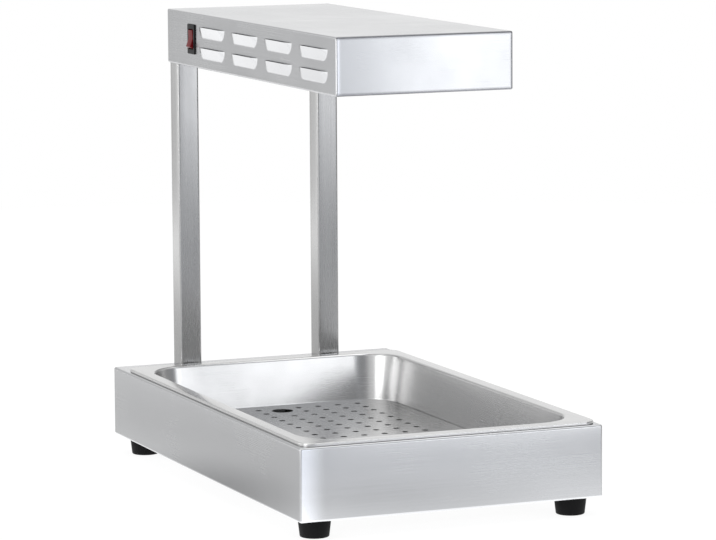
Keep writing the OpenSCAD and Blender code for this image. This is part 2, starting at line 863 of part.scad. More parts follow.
// Milky quartz tube between its two caps
module heater_tube(side) {
    color(white) translate([side * tube_pitch / 2, window_y + tube_l / 2, tube_z]) rotate([90, 0, 0])
        difference() {
            cylinder(d = tube_d, h = tube_l);
            translate([0, 0, -1]) cylinder(d = tube_d - 2 * tube_wall, h = tube_l + 2);
        }
}

module heater_tube_left() {
    heater_tube(-1);
}

module heater_tube_right() {
    heater_tube(1);
}

// The winding's outer form, end to end in each tube
module heater_cores() {
    color([0.4, 0.37, 0.35]) for (s = [-1, 1]) {
        translate([s * tube_pitch / 2, window_y + tube_l / 2, tube_z]) rotate([90, 0, 0])
            cylinder(d = tube_d - 2 * tube_wall - 2 * seat_gap, h = tube_l);
    }
}

// Ceramic caps: a shank through the bracket, a shoulder outside it and a bore for the tube
module heater_caps() {
    color(white) at_tube_ends() difference() {
        union() {
            translate([0, 0, -cap_shank_l]) cylinder(d = cap_shank_d, h = cap_shank_l + eps);
            rotate_extrude() polygon([
                [0, 0], [cap_d / 2, 0], [cap_d / 2, cap_l - cap_chamfer],
                [cap_d / 2 - cap_chamfer, cap_l], [0, cap_l]
            ]);
        }
        translate([0, 0, -cap_shank_l - 1]) cylinder(d = tube_d + 2 * fit_gap, h = cap_bore_l + 1);
        cylinder(d = m4 + 2 * fit_gap, h = cap_l + 1);
    }
}

// A washer and a nut on a stud, from z = 0 up
module stud_nut() {
    cylinder(d = stud_washer_d, h = stud_washer_t);
    translate([0, 0, stud_washer_t - eps]) hexagon(stud_nut_w, stud_nut_h);
}

// A stud through each cap, with a washer and a nut
module heater_terminals() {
    color(brass) at_tube_ends() {
        translate([0, 0, cap_bore_l - cap_shank_l + fit_gap])
            cylinder(d = m4, h = cap_l - cap_bore_l + cap_shank_l + stud_l);
        translate([0, 0, cap_l]) stud_nut();
    }
}

// Welded wire guard that lies on the hood's floor round the window
module guard_grille() {
    half_w = window_w / 2 + frame_wire_d / 2 + guard_edge;
    half_l = window_l / 2 + frame_wire_d / 2 + guard_edge;
    bend = 2 * frame_wire_d;
    z_frame = floor_top + frame_wire_d / 2;
    z_cross = floor_top + frame_wire_d + cross_wire_d / 2 - weld_sink;
    n = floor((window_l / 2 - wire_pitch / 3) / wire_pitch);
    color(bright_steel) translate([0, window_y, 0]) {
        for (s = [-1, 1]) {
            translate([s * half_w, half_l - bend, z_frame]) rotate([90, 0, 0])
                cylinder(d = frame_wire_d, h = 2 * (half_l - bend), $fn = 16);
            translate([-half_w + bend, s * half_l, z_frame]) rotate([0, 90, 0])
                cylinder(d = frame_wire_d, h = 2 * (half_w - bend), $fn = 16);
            translate([s * window_w / 6, half_l, z_frame]) rotate([90, 0, 0])
                cylinder(d = cross_wire_d, h = 2 * half_l, $fn = 16);
        }
        for (x = [-1, 1], y = [-1, 1]) {
            translate([x * (half_w - bend), y * (half_l - bend), z_frame])
                rotate([0, 0, x > 0 ? (y > 0 ? 0 : 270) : (y > 0 ? 90 : 180)])
                    rotate_extrude(angle = 90) translate([bend, 0]) circle(d = frame_wire_d, $fn = 16);
        }
        for (k = [-n:n]) {
            translate([-half_w - 1, k * wire_pitch, z_cross]) rotate([0, 90, 0])
                cylinder(d = cross_wire_d, h = 2 * half_w + 2, $fn = 16);
        }
    }
}

// Switch

// Bezel outside the hood and a box inside it, hollow where the rocker tips
module switch_housing() {
    color(black) translate([-switch_wall, switch_y, switch_z]) difference() {
        union() {
            translate([-bezel_t, 0, 0]) rotate([90, 0, 90]) linear_extrude(bezel_t)
                round_rect(bezel_w, bezel_h, 1.5);
            translate([-eps, -body_w / 2, -body_h / 2]) cube([body_depth + eps, body_w, body_h]);
        }
        translate([-bezel_t - 1, -rocker_w / 2 - seat_gap, -rocker_h / 2 - rocker_gap])
            cube([bezel_t + 1 + pivot_in + rocker_depth, rocker_w + 2 * seat_gap, rocker_h + 2 * rocker_gap]);
        translate([pivot_in, body_w / 2 - pivot_wall, 0]) rotate([90, 0, 0])
            cylinder(d = pivot_d + 2 * pivot_play, h = body_w - 2 * pivot_wall);
    }
}

// Rocker: two flat faces that meet in a shallow valley over the pivot. Its ends are round about the
// pivot, so that their gap stays the same. At rest the lower end stands out.
module switch_rocker() {
    end_r = rocker_h / 2;
    rise = pivot_in + 3.8;
    valley = pivot_in + 2;
    color(red) translate([-switch_wall + pivot_in, switch_y, switch_z])
        rotate([0, rocker_travel / 2, 0]) {
            rotate([90, 0, 0]) linear_extrude(rocker_w, center = true) intersection() {
                circle(end_r);
                polygon([
                    [2.5, -end_r], [-rise, -end_r], [-rise, -end_r + 2], [-valley, 0],
                    [-rise, end_r - 2], [-rise, end_r], [2.5, end_r]
                ]);
            }
            rotate([90, 0, 0])
                cylinder(d = pivot_d, h = body_w - 2 * pivot_wall - 2 * seat_gap, center = true);
        }
}

// Flat tabs at the back of the switch, and the sprung wings that hold it
module switch_tabs() {
    color(brass) for (z = [-8, 0, 8], y = [-4, 4]) {
        translate([-switch_wall + body_depth, switch_y + y - 0.4, switch_z + z - 3.15])
            cube([8, 0.8, 6.3]);
    }
}

// Wiring side

module terminal_block() {
    color(white) translate([0, block_y, floor_top]) difference() {
        union() {
            translate([-block_w / 2, -block_d / 2, 0]) cube([block_w, block_d, block_base_h]);
            for (k = [-1:1]) {
                translate([k * block_pitch - 5.5, -block_d / 2, 0]) cube([11, block_d, block_h]);
            }
        }
        for (k = [-1:1]) {
            translate([k * block_pitch, block_d / 2 + 1, block_h / 2]) rotate([90, 0, 0])
                cylinder(d = m5, h = block_d + 2);
            for (s = [-1, 1]) {
                translate([k * block_pitch, s * block_d / 4, block_h / 2])
                    cylinder(d = m4 + 2 * fit_gap, h = block_h);
            }
        }
    }
}

module terminal_screws() {
    z = (block_h + m5) / 2;
    color(brass) translate([0, block_y, floor_top]) for (k = [-1:1], s = [-1, 1]) {
        translate([k * block_pitch, s * block_d / 4, z]) cylinder(d = m4, h = block_h - z - 0.5);
    }
}

module earth_stud() {
    color(brass) translate([earth_x, earth_y, floor_top]) {
        translate([0, 0, -floor_t]) cylinder(d = m4, h = floor_t + 2 * stud_l);
        stud_nut();
        translate([0, 0, 2 * (stud_washer_t + stud_nut_h)]) hexagon(stud_nut_w, stud_nut_h);
    }
}

module at_gland() {
    translate([gland_x, y_back, gland_z]) rotate([-90, 0, 0]) children();
}

module gland_body() {
    color(black) at_gland() difference() {
        union() {
            translate([0, 0, -rear_t - gland_in]) cylinder(d = gland_d, h = gland_in + rear_t + eps);
            hexagon(gland_hex_w, gland_hex_t);
            translate([0, 0, gland_hex_t - eps]) cylinder(d = gland_d - 2, h = 5);
        }
        translate([0, 0, -rear_t - gland_in - 1]) cylinder(d = cord_hole_d, h = gland_in + gland_out);
    }
}

module gland_seal() {
    color(black) at_gland() translate([0, 0, gland_hex_t + 5]) difference() {
        cylinder(d = gland_d - 2, h = 4);
        translate([0, 0, -1]) cylinder(d = cord_hole_d, h = 6);
    }
}

module gland_nut() {
    inner = gland_d - 2 + 2 * fit_gap;
    color(black) at_gland() translate([0, 0, gland_hex_t + fit_gap]) difference() {
        union() {
            hexagon(gland_hex_w - 1, 6);
            rotate_extrude() polygon([
                [0, 0], [gland_d / 2 + 2.4, 0], [gland_d / 2 + 2.4, 6],
                [gland_d / 2 - 0.5, gland_dome_l - fit_gap], [0, gland_dome_l - fit_gap]
            ]);
        }
        translate([0, 0, -1]) cylinder(d = inner, h = 1 + 9);
        cylinder(d = cord_hole_d, h = gland_dome_l + 1);
    }
}

module gland_locknut() {
    color(black) at_gland() translate([0, 0, -rear_t - locknut_t]) difference() {
        hexagon(gland_hex_w, locknut_t);
        translate([0, 0, -1]) cylinder(d = gland_d + 2 * fit_gap, h = locknut_t + 2);
    }
}

base_shell();
base_crossmember();
foot_front_left();
foot_front_right();
foot_rear_left();
foot_rear_right();
foot_screws();
foot_nuts();
gn_pan();
drain_plate();
post_left();
post_right();
post_inserts();
lower_post_bolts();
upper_post_bolts();
hood_shell();
hood_floor();
hood_floor_screws();
hood_rear_panel();
rear_panel_screws();
hood_crossmember();
hood_divider();
reflector();
heat_shield();
heater_bracket_front();
heater_bracket_rear();
heater_tube_left();
heater_tube_right();
heater_cores();
heater_caps();
heater_terminals();
guard_grille();
switch_housing();
switch_rocker();
switch_tabs();
terminal_block();
terminal_screws();
earth_stud();
gland_body();
gland_nut();
gland_seal();
gland_locknut();
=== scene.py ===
"""Looks of the chip warmer: a folded steel base with a food pan, two posts and a louvred heated hood."""

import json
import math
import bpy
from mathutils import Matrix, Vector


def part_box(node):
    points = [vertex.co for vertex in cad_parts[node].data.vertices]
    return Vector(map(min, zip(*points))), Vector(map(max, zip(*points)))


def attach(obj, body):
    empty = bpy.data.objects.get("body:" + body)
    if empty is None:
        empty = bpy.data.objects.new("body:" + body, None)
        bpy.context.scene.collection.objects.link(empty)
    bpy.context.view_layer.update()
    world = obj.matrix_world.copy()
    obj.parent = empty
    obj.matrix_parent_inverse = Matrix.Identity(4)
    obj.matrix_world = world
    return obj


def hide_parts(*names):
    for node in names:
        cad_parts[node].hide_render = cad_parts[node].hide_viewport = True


bl_info = {
    "name": "Chip warmer",
    "version": (1, 0, 0),
    "blender": (4, 5, 0),
    "location": "3D View > Sidebar > Chip warmer",
    "description": "Dresses the chip warmer's model with its sheet metal, louvres, pan, posts and finishes",
    "category": "Add Mesh",
}

import bmesh
import bpy
import numpy as np
from bpy.props import FloatProperty, FloatVectorProperty, IntProperty, PointerProperty
from bpy.types import Operator, Panel, PropertyGroup
from mathutils import Matrix, Vector

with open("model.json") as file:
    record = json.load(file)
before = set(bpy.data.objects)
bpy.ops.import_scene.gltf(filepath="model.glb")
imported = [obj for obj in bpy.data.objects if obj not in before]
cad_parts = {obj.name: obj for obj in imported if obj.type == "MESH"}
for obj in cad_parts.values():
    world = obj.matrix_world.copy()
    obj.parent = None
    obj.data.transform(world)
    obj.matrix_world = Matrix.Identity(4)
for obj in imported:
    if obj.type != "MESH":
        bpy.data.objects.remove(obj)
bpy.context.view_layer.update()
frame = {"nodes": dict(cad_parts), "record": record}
MM = 0.001

BASE_LO, BASE_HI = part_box("base_shell")
PAN_LO, PAN_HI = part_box("gn_pan")
HOOD_LO, HOOD_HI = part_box("hood_shell")
BEZEL_LO, BEZEL_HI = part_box("switch_housing")
ROCKER_LO, ROCKER_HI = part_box("switch_rocker")

# Half the hood's width over its flat sides, without the louvres
HOOD_SIDE_X = 97.5 * MM

# Steps round a fold, points round an upright corner of the hood, and lines over a louvre's end
FOLD_STEPS = 6
CORNER_POINTS = 9
LOUVRE_LINES = 22


# Sizes and colours

def number(name, about, value, **more):
    return FloatProperty(name=name, description=about, default=value, min=0.0, **more)


def size(name, about, millimetres):
    return number(name, about, millimetres * MM, unit="LENGTH", precision=4)


def share(name, about, value):
    return number(name, about, value, max=1.0, subtype="FACTOR")


def angle(name, about, degrees):
    return FloatProperty(name=name, description=about, default=math.radians(degrees), unit="ROTATION",
                         subtype="ANGLE")


def colour(name, about, value):
    return FloatVectorProperty(name=name, description=about, default=value, min=0.0, max=1.0, size=3,
                               subtype="COLOR")


class WarmerBase(PropertyGroup):
    sheet: size("Sheet", "Thickness of the base's sheet", 1.2)
    bend: size("Bend", "Outer radius of the base's folds", 2.5)
    flange: size("Flange", "Width of the return flange under the base", 38)
    flange_corner: size("Flange corner", "Corner radius of the opening under the base", 8)
    play: size("Play", "Gap between the pan's wall and the deck's cut-out", 1.5)


class WarmerPan(PropertyGroup):
    sheet: size("Sheet", "Thickness of the pan's sheet", 0.8)
    flange: size("Flange", "Width of the pan's flat rim", 12.5)
    rim_corner: size("Rim corner", "Outer corner radius of the rim", 14)
    rim_edge: size("Rim edge", "Height of the rim's turned edge", 3.2)
    rim_bend: size("Rim bend", "Outer radius of the rim's edge", 1.2)
    wall_corner: size("Wall corner", "Corner radius of the pan's wall under the rim", 46)
    top_bend: size("Top bend", "Radius between the rim and the wall", 3)
    low_bend: size("Low bend", "Radius between the wall and the floor", 16)
    draft: size("Draft", "How far the walls lean in", 6)


class WarmerPosts(PropertyGroup):
    wall: size("Wall", "Wall of the square tubes", 1.5)
    corner: size("Corner", "Outer corner radius of the tubes", 2.5)


class WarmerFeet(PropertyGroup):
    taper: size("Taper", "How much smaller a foot's radius is at its lower end", 2)
    low_edge: size("Lower edge", "Rounding of a foot's lower edge", 1.4)
    top_edge: size("Upper edge", "Rounding of a foot's upper edge", 0.6)
    bore: size("Bore", "Radius of the screw's bore", 2.75)
    well: size("Well", "Radius of the well for the screw's head", 6)
    well_depth: size("Well depth", "Depth of the well for the screw's head", 7)


class WarmerHood(PropertyGroup):
    sheet: size("Sheet", "Thickness of the hood's sheet", 1.0)
    bend: size("Bend", "Outer radius of the hood's folds", 1.8)
    flange: size("Flange", "Width of the return flange under the hood", 14)
    back_flange: size("Back flange", "Width of the return flange behind the rear panel", 11)
    louvres: IntProperty(name="Louvres", description="Number of louvres in a row", default=4, min=1, max=6)
    rows: IntProperty(name="Rows", description="Number of rows of louvres", default=2, min=1, max=2)
    louvre_long: size("Louvre length", "Length of a louvre at its mouth", 77)
    louvre_high: size("Louvre height", "Height of a louvre", 12)
    louvre_out: size("Louvre depth", "How far a louvre is pressed out of the sheet", 3.6)
    louvre_first: size("First louvre", "From the hood's front to the first louvre's middle", 61.5)
    louvre_step: size("Louvre step", "Distance between louvres along the hood", 98)
    louvre_low: size("Lower row", "From the hood's lower edge to the lower row's mouths", 23.5)
    louvre_rise: size("Row step", "Distance between the two rows", 22.5)
    louvre_fillet: size("Louvre fillet", "Half width of the rounding at a louvre's foot", 0.35)


class WarmerSwitch(PropertyGroup):
    plate: size("Plate", "Thickness of the bezel outside the hood", 1.5)
    corner: size("Corner", "Corner radius of the bezel", 1.5)
    edge: size("Edge", "Rounding of the bezel's and the rocker's edges", 0.6)
    rim_side: size("Side rim", "Width of the bezel's rim beside the rocker", 4.2)
    rim_end: size("End rim", "Width of the bezel's rim over and under the rocker", 5.5)
    step: size("Step", "How far the body inside the hood is smaller than the bezel", 2.0)
    rocker_width: size("Rocker", "Width of the rocker", 13)
    end_radius: size("End radius", "Radius of the rocker's round ends about the pivot", 10.5)
    reach_up: size("Face", "Half height of the rocker's face", 8.8)
    valley: size("Valley", "Distance of the face's middle from the pivot", 3.5)
    soft: size("Valley rounding", "Rounding of the valley in the face", 0.15)
    dish: number("Dish", "Slope of each half of the rocker's face", 0.21)
    pivot: size("Pivot", "Depth of the pivot behind the hood's side", 1.5)
    pin: size("Pin", "Diameter of the pivot's pins", 2.4)
    tip: angle("Tip", "Angle of the rocker at rest", 8.0)


class WarmerFinish(PropertyGroup):
    sheet_steel: colour("Sheet steel", "Colour of the folded sheet", (0.49, 0.495, 0.505))
    pan_steel: colour("Pan steel", "Colour of the pressed pan", (0.56, 0.56, 0.56))
    tube_steel: colour("Tube steel", "Colour of the polished tubes", (0.42, 0.42, 0.42))
    rubber: colour("Rubber", "Colour of the feet", (0.003, 0.003, 0.0033))
    black_plastic: colour("Black plastic", "Colour of the bezel and the gland", (0.004, 0.004, 0.0045))
    red_plastic: colour("Red plastic", "Colour of the rocker", (0.12, 0.003, 0.005))
    grain: share("Grain", "Strength of the brushed grain", 0.08)
    # Strength of the painted highlight that makes the fronts paler at their left ends, beside the upright
    # corners
    painted_light: share("Ground corner", "How much paler the fronts are beside their ground corners", 0.9)


class WarmerStage(PropertyGroup):
    eye: FloatVectorProperty(name="Eye", description="Place of the camera", size=3, unit="LENGTH",
                             default=(-1.54198, -3.75048, 0.77195), subtype="TRANSLATION")
    turn: angle("Turn", "Turn of the camera from straight ahead to the right", 22.582)
    tip: angle("Tip", "How far the camera looks down", 7.634)
    lean: angle("Lean", "Lean of the camera about its line of sight", -0.357)
    lens: number("Lens", "Focal length of the camera in millimetres", 191.88, unit="CAMERA")
    room: number("Room", "Brightness of the room's soft light", 0.62)
    mirrored: number("Mirrored room", "Brightness of the room as the metal shows it", 0.82)
    floor_mirrored: number("Mirrored floor", "Brightness of the floor as the metal shows it", 0.86)
    floor_steep: number("Floor from above", "How much brighter the metal shows the floor seen steeply", 1.6)
    floor_radius: size("Floor radius", "Radius of the floor", 2600)
    shadow: share("Shadow", "How strongly the floor shows the shadow", 0.14)
    soft_box: number("Soft box", "Power of the large lamp overhead", 24.0, unit="POWER")
    side_box: number("Side box", "Power of the lamp at the front left", 18.0, unit="POWER")
    front_box: number("Front box", "Power of the upright lamp at the front right", 8.0, unit="POWER")
    floor: colour("Floor", "Colour of the floor", (0.86, 0.86, 0.86))
    cool: colour("Cool light", "Colour of the light that comes from the front", (0.925, 0.95, 1.0))


class WarmerSettings(PropertyGroup):
    base: PointerProperty(type=WarmerBase)
    pan: PointerProperty(type=WarmerPan)
    posts: PointerProperty(type=WarmerPosts)
    feet: PointerProperty(type=WarmerFeet)
    hood: PointerProperty(type=WarmerHood)
    switch: PointerProperty(type=WarmerSwitch)
    finish: PointerProperty(type=WarmerFinish)
    stage: PointerProperty(type=WarmerStage)


# Surfaces

def half_and_middle(lo, hi, axes=(0, 1)):
    """Half the size and the middle of a box along two of its axes."""
    lo, hi = np.array(lo)[list(axes)], np.array(hi)[list(axes)]
    return (hi - lo) / 2, (hi + lo) / 2


def arc(centre, radius, start, end, steps):
    """Points of a circular arc: the centre plus the radius times (cos a, sin a), a going evenly from
    start to end in degrees."""
    a = np.radians(np.linspace(start, end, steps + 1))
    return np.stack([centre[0] + radius * np.cos(a), centre[1] + radius * np.sin(a)], axis=1)


def with_third(grid, third):
    """Adds a third coordinate to a grid of points."""
    return np.concatenate([grid, np.broadcast_to(third, grid.shape[:2] + (1,))], axis=2)


def ring_surface(rings, corner, side):
    """Rounded rectangles stacked into a grid. Each ring has its half width, half length, corner radius,
    middle (x, y) and height. A point is the ring's middle, plus the corner's sign times the half size
    less the radius, plus the radius times the outward direction. The direction turns a quarter at each
    corner and stays as it is along a side."""
    rings = np.asarray(rings, float)
    signs = np.array([[1, 1], [-1, 1], [-1, -1], [1, -1]], float)
    turn = np.linspace(0, math.pi / 2, corner + 1)
    spots, ways = [], []
    for q in range(4):
        a = q * math.pi / 2 + turn
        spots.append(np.repeat(signs[q][None], corner + 1, 0))
        ways.append(np.stack([np.cos(a), np.sin(a)], 1))
        steps = side[q % 2]
        t = np.linspace(0, 1, steps + 1)[1:-1, None]
        spots.append((1 - t) * signs[q] + t * signs[(q + 1) % 4])
        ways.append(np.repeat(ways[-1][-1:], steps - 1, 0))
    spot, way = np.concatenate(spots), np.concatenate(ways)
    half, r, middle, z = rings[:, None, :2], rings[:, None, 2:3], rings[:, None, 3:5], rings[:, None, 5:6]
    return with_third(middle + spot * (half - r) + way * r, z)


def grid_faces(rows, columns, wrap_rows=False, wrap_columns=True):
    """Quads between the neighbours of a grid, as indices, with the last row or column joined to the
    first where it wraps."""
    j = np.arange(rows if wrap_rows else rows - 1)[:, None]
    i = np.arange(columns if wrap_columns else columns - 1)[None, :]
    j1, i1 = (j + 1) % rows, (i + 1) % columns
    quads = np.stack([j * columns + i, j * columns + i1, j1 * columns + i1, j1 * columns + i], -1)
    return quads.reshape(-1, 4).tolist()


def closed_rings(grid, wrap=False):
    """Points and faces of stacked rings: joined end to end where they wrap, or else closed by a flat
    face at each end."""
    rows, columns = grid.shape[:2]
    faces = grid_faces(rows, columns, wrap)
    if not wrap:
        faces += [list(range(columns))[::-1], list(range((rows - 1) * columns, rows * columns))]
    return grid.reshape(-1, 3), faces


def lathe(profile, middle, steps):
    """A closed profile of (radius, height) points turned round an upright axis: x and y are the
    middle's plus the radius times the cosine and sine of the angle."""
    a = np.linspace(0, 2 * math.pi, steps, endpoint=False)
    profile = np.asarray(profile, float)
    r, z = profile[:, 0:1], profile[:, 1:2]
    grid = np.stack([middle[0] + r * np.cos(a), middle[1] + r * np.sin(a), z + 0 * a], axis=2)
    return grid.reshape(-1, 3), grid_faces(len(profile), steps)


def carried(path, section):
    """A section of (distance out, height) points carried along a path seen from above: a point is the
    path's place plus its outward direction times the distance, at the section's height."""
    spots, ways = path
    section = np.asarray(section)
    return with_third(spots[:, None] + ways[:, None] * section[:, :1], section[:, 1:])


def outward(points, faces):
    """Turns the faces over where the volume they enclose comes out negative."""
    total = 0.0
    for face in faces:
        p = points[face]
        total += np.einsum("i,ji->", p[0], np.cross(p[1:-1], p[2:]))
    return faces if total > 0 else [face[::-1] for face in faces]


def add_object(name, data):
    made = bpy.data.objects.new(name, data)
    bpy.context.scene.collection.objects.link(made)
    return made


def make_piece(name, parts, body, nodes, slot, crease=32.0):
    """Makes one object from closed parts, each a pair of points and faces, joins points that fall
    together, shades it smooth up to the crease angle, gives it its slot's material, parents it to its body
    and hides the nodes it stands in for."""
    points, faces, shift = [], [], 0
    for part_points, part_faces in parts:
        faces += [[k + shift for k in face] for face in outward(part_points, part_faces)]
        points.append(part_points)
        shift += len(part_points)
    mesh = bpy.data.meshes.new(name)
    mesh.from_pydata(np.concatenate(points), [], faces)
    bm = bmesh.new()
    bm.from_mesh(mesh)
    bmesh.ops.remove_doubles(bm, verts=bm.verts, dist=2e-6)
    bmesh.ops.dissolve_degenerate(bm, edges=bm.edges, dist=1e-7)
    bm.to_mesh(mesh)
    bm.free()
    mesh.shade_smooth()
    mesh.set_sharp_from_angle(angle=math.radians(crease))
    mesh.materials.append(finish_of(slot))
    piece = add_object(name, mesh)
    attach(piece, body)
    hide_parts(*nodes)


# Materials

class Nodes:
    """Adds nodes to a tree. Most calls give back an output, and node gives back the node itself."""

    def __init__(self, tree):
        self.tree = tree
        tree.nodes.clear()

    def feed(self, made, inputs):
        """Sets a node's inputs, each to a value or to another node's output."""
        for key, value in inputs.items():
            if isinstance(value, bpy.types.NodeSocket):
                self.tree.links.new(value, made.inputs[key])
            else:
                made.inputs[key].default_value = value

    def node(self, kind, inputs=None, **settings):
        made = self.tree.nodes.new(kind)
        for key, value in settings.items():
            setattr(made, key, value)
        self.feed(made, inputs or {})
        return made

    def between(self, value, low, high, start=0.25, end=0.75, how="LINEAR"):
        """Carries a value's range from start to end over to low to high, and holds it at the ends."""
        inputs = {"Value": value, "From Min": start, "From Max": end, "To Min": low, "To Max": high}
        return self.node("ShaderNodeMapRange", inputs, interpolation_type=how).outputs[0]

    def eased(self, value, low, high, start=0.0, end=1.0):
        return self.between(value, low, high, start, end, "SMOOTHSTEP")

    def maths(self, how, first, *others):
        """Works a sum, product, least or greatest out of its values, from left to right."""
        for other in others:
            first = self.node("ShaderNodeMath", {0: first, 1: other}, operation=how).outputs[0]
        return first

    def measure(self, how, a, b):
        """A number worked out from two directions or places, such as their distance."""
        return self.node("ShaderNodeVectorMath", {0: a, 1: b}, operation=how).outputs["Value"]

    def split(self, vector):
        return self.node("ShaderNodeSeparateXYZ", {0: vector}).outputs

    def mix(self, factor, a, b):
        return self.node("ShaderNodeMix", {0: factor, 2: a, 3: b}).outputs[0]

    def blend(self, factor, a, b):
        """Mixes two colours."""
        return self.node("ShaderNodeMix", {0: factor, 6: a, 7: b}, data_type="RGBA").outputs[2]


class Finish(Nodes):
    """A material with its shader, whose patterns lie in the object's own coordinates."""

    def __init__(self, name):
        self.material = bpy.data.materials.get(name) or bpy.data.materials.new(name)
        self.material.use_nodes = True
        super().__init__(self.material.node_tree)
        self.shader = self.node("ShaderNodeBsdfPrincipled")
        self.out = self.node("ShaderNodeOutputMaterial", {"Surface": self.shader.outputs[0]})
        self.place = self.node("ShaderNodeTexCoord").outputs["Object"]
        self.normal = self.node("ShaderNodeNewGeometry").outputs["Normal"]
        self.at, self.facing = self.split(self.place), self.split(self.normal)

    def shade(self, **sockets):
        """Sets the shader's inputs and gives back the material."""
        self.feed(self.shader, {key.replace("_", " "): value for key, value in sockets.items()})
        return self.material

    def noise(self, scale, detail=3.0, rough=0.55, stretch=None):
        """Noise over the object, drawn out along the axes where a stretch is given."""
        place = self.place
        if stretch:
            place = self.node("ShaderNodeMapping", {"Vector": place, "Scale": stretch}).outputs[0]
        inputs = {"Vector": place, "Scale": scale, "Detail": detail, "Roughness": rough}
        return self.node("ShaderNodeTexNoise", inputs).outputs["Fac"]

    def bump(self, height, strength, distance, **more):
        inputs = {"Height": height, "Strength": strength, "Distance": distance, **more}
        return self.node("ShaderNodeBump", inputs).outputs[0]

    def across_grain(self, flat, upright_grain):
        """The direction across the grain: upright on a side whose grain runs along it, level on a
        tube whose grain runs up it, and across the sheet on a level face."""
        if upright_grain:
            return self.node("ShaderNodeVectorMath", {0: self.normal, 1: (0.0, 0.0, 1.0)},
                             operation="CROSS_PRODUCT").outputs[0]
        return self.node("ShaderNodeMix", {0: flat, 4: (0.0, 0.0, 1.0), 5: (1.0, 0.0, 0.0)},
                         data_type="VECTOR").outputs[1]

    def on_hood(self):
        """1 on the hood and 0 on the base, told apart halfway between them."""
        return self.maths("GREATER_THAN", self.at[2], (BASE_HI.z + HOOD_LO.z) / 2)

    def painted_highlight_mask(self):
        """A mask for a painted highlight: 1 at the left end of a front panel, falling away smoothly along it,
        and 0 elsewhere.
        """
        hood = self.on_hood()
        end = self.between(hood, BASE_LO.x, -HOOD_SIDE_X, 0.0, 1.0)
        reach = self.between(hood, 30 * MM, 6 * MM, 0.0, 1.0)
        away = self.maths("DIVIDE", self.maths("SUBTRACT", self.at[0], end), reach)
        return self.maths("MULTIPLY", self.eased(away, 1.0, 0.0),
                          self.between(self.facing[1], 1.0, 0.0, -0.99, -0.9))

    def painted_fold_shade_mask(self):
        """A mask for painted shade: 1 along the upper, lower and right-hand folds of the hood's front, 0 from
        4 mm inwards, and about half of that on the lower folds of its sides."""
        reach = 4.2 * MM
        away = self.maths("MINIMUM", self.maths("SUBTRACT", self.at[2], HOOD_LO.z),
                          self.maths("SUBTRACT", HOOD_HI.z, self.at[2]),
                          self.maths("SUBTRACT", HOOD_SIDE_X, self.at[0]))
        front = self.between(self.facing[1], 1.0, 0.0, -0.6, -0.1)
        under = self.maths("MULTIPLY", self.between(self.facing[2], 0.55, 0.0, -0.35, -0.05),
                           self.between(self.facing[2], 0.0, 1.0, -0.98, -0.8))
        return self.maths("MULTIPLY", self.eased(away, 1.0, 0.0, 0.0, reach), self.on_hood(),
                          self.maths("MAXIMUM", front, under))


def tint(base, factor=1.0):
    """The colour times a factor, with its opacity."""
    return tuple(min(1.0, c * factor) for c in base) + (1.0,)


def brushed(name, base, rough, grain, spread=0.02, upright_grain=False, stretch=0.0, painted_light=0.0):
    """Steel with a brushed grain: noise drawn out along the sheet makes the grain, and two slow
    noises make its smudges and its gentle waviness. Where painted light is asked for, a painted highlight
    makes the front's left end beside the welded corner paler, and painted shade darkens the folds round the
    hood's front."""
    t = Finish(name)
    fine, long = 2600.0, 5.0
    upright = t.noise(1.0, 2.0, 0.6, (fine, fine, long) if upright_grain else (long, long, fine))
    level = t.noise(1.0, 2.0, 0.6, (fine, long, long))
    flat = t.between(t.maths("ABSOLUTE", t.facing[2], 0.0), 0.0, 1.0, 0.4, 0.6)
    line = t.mix(flat, upright, level)
    smudge = t.noise(9.0, 4.0, 0.6)
    steel = t.blend(t.between(line, 0.0, 1.0), tint(base, 1.0 - spread), tint(base, 1.0 + spread))
    steel = t.blend(t.between(smudge, 0.0, 0.25), steel, tint(base, 0.92))
    if painted_light:
        # Painted highlight: the front's left end beside the upright corner is blended towards a pale bluish
        # white
        steel = t.blend(t.maths("MULTIPLY", t.painted_highlight_mask(), painted_light), steel, (0.9, 0.92, 0.97, 1.0))
        # Painted shade: the folds round the hood's front and the lower folds of its sides are blended towards
        # near black
        steel = t.blend(t.maths("MULTIPLY", t.painted_fold_shade_mask(), 0.95), steel, (0.1, 0.1, 0.11, 1.0))
    wear = t.maths("ADD", t.between(line, -0.025, 0.025), t.between(smudge, -0.035, 0.05), rough)
    wave = t.bump(t.noise(5.0, 1.0, 0.4), 0.25, 1.2 * MM)
    return t.shade(Base_Color=steel, Roughness=wear, Metallic=1.0, Anisotropic=stretch,
                   Normal=t.bump(line, grain, 0.06 * MM, Normal=wave),
                   Tangent=t.across_grain(flat, upright_grain))


def plated(name, base, rough):
    """Small metal pieces: a fine mottle in colour and roughness with faint tool marks."""
    t = Finish(name)
    mottle = t.between(t.noise(700.0), 0.0, 1.0)
    marks = t.noise(1.0, 2.0, 0.5, (300.0, 300.0, 4000.0))
    return t.shade(Base_Color=t.blend(mottle, tint(base, 0.86), tint(base, 1.08)), Metallic=1.0,
                   Roughness=t.between(t.noise(260.0, 4.0), rough - 0.06, rough + 0.1),
                   Normal=t.bump(marks, 0.15, 0.04 * MM))


def moulded(name, base, rough, texture=1500.0, depth=0.05 * MM, strength=0.25, gloss=0.5):
    """Moulded plastic or rubber: a fine spark texture, with slow changes in gloss and a dusty lift."""
    t = Finish(name)
    slow = t.noise(45.0)
    return t.shade(Base_Color=t.blend(t.between(slow, 0.0, 1.0), tint(base, 0.9), tint(base, 1.15)),
                   Roughness=t.between(slow, rough - 0.05, rough + 0.08),
                   Normal=t.bump(t.noise(texture, 2.0), strength, depth), IOR=1.5, Specular_IOR_Level=gloss)


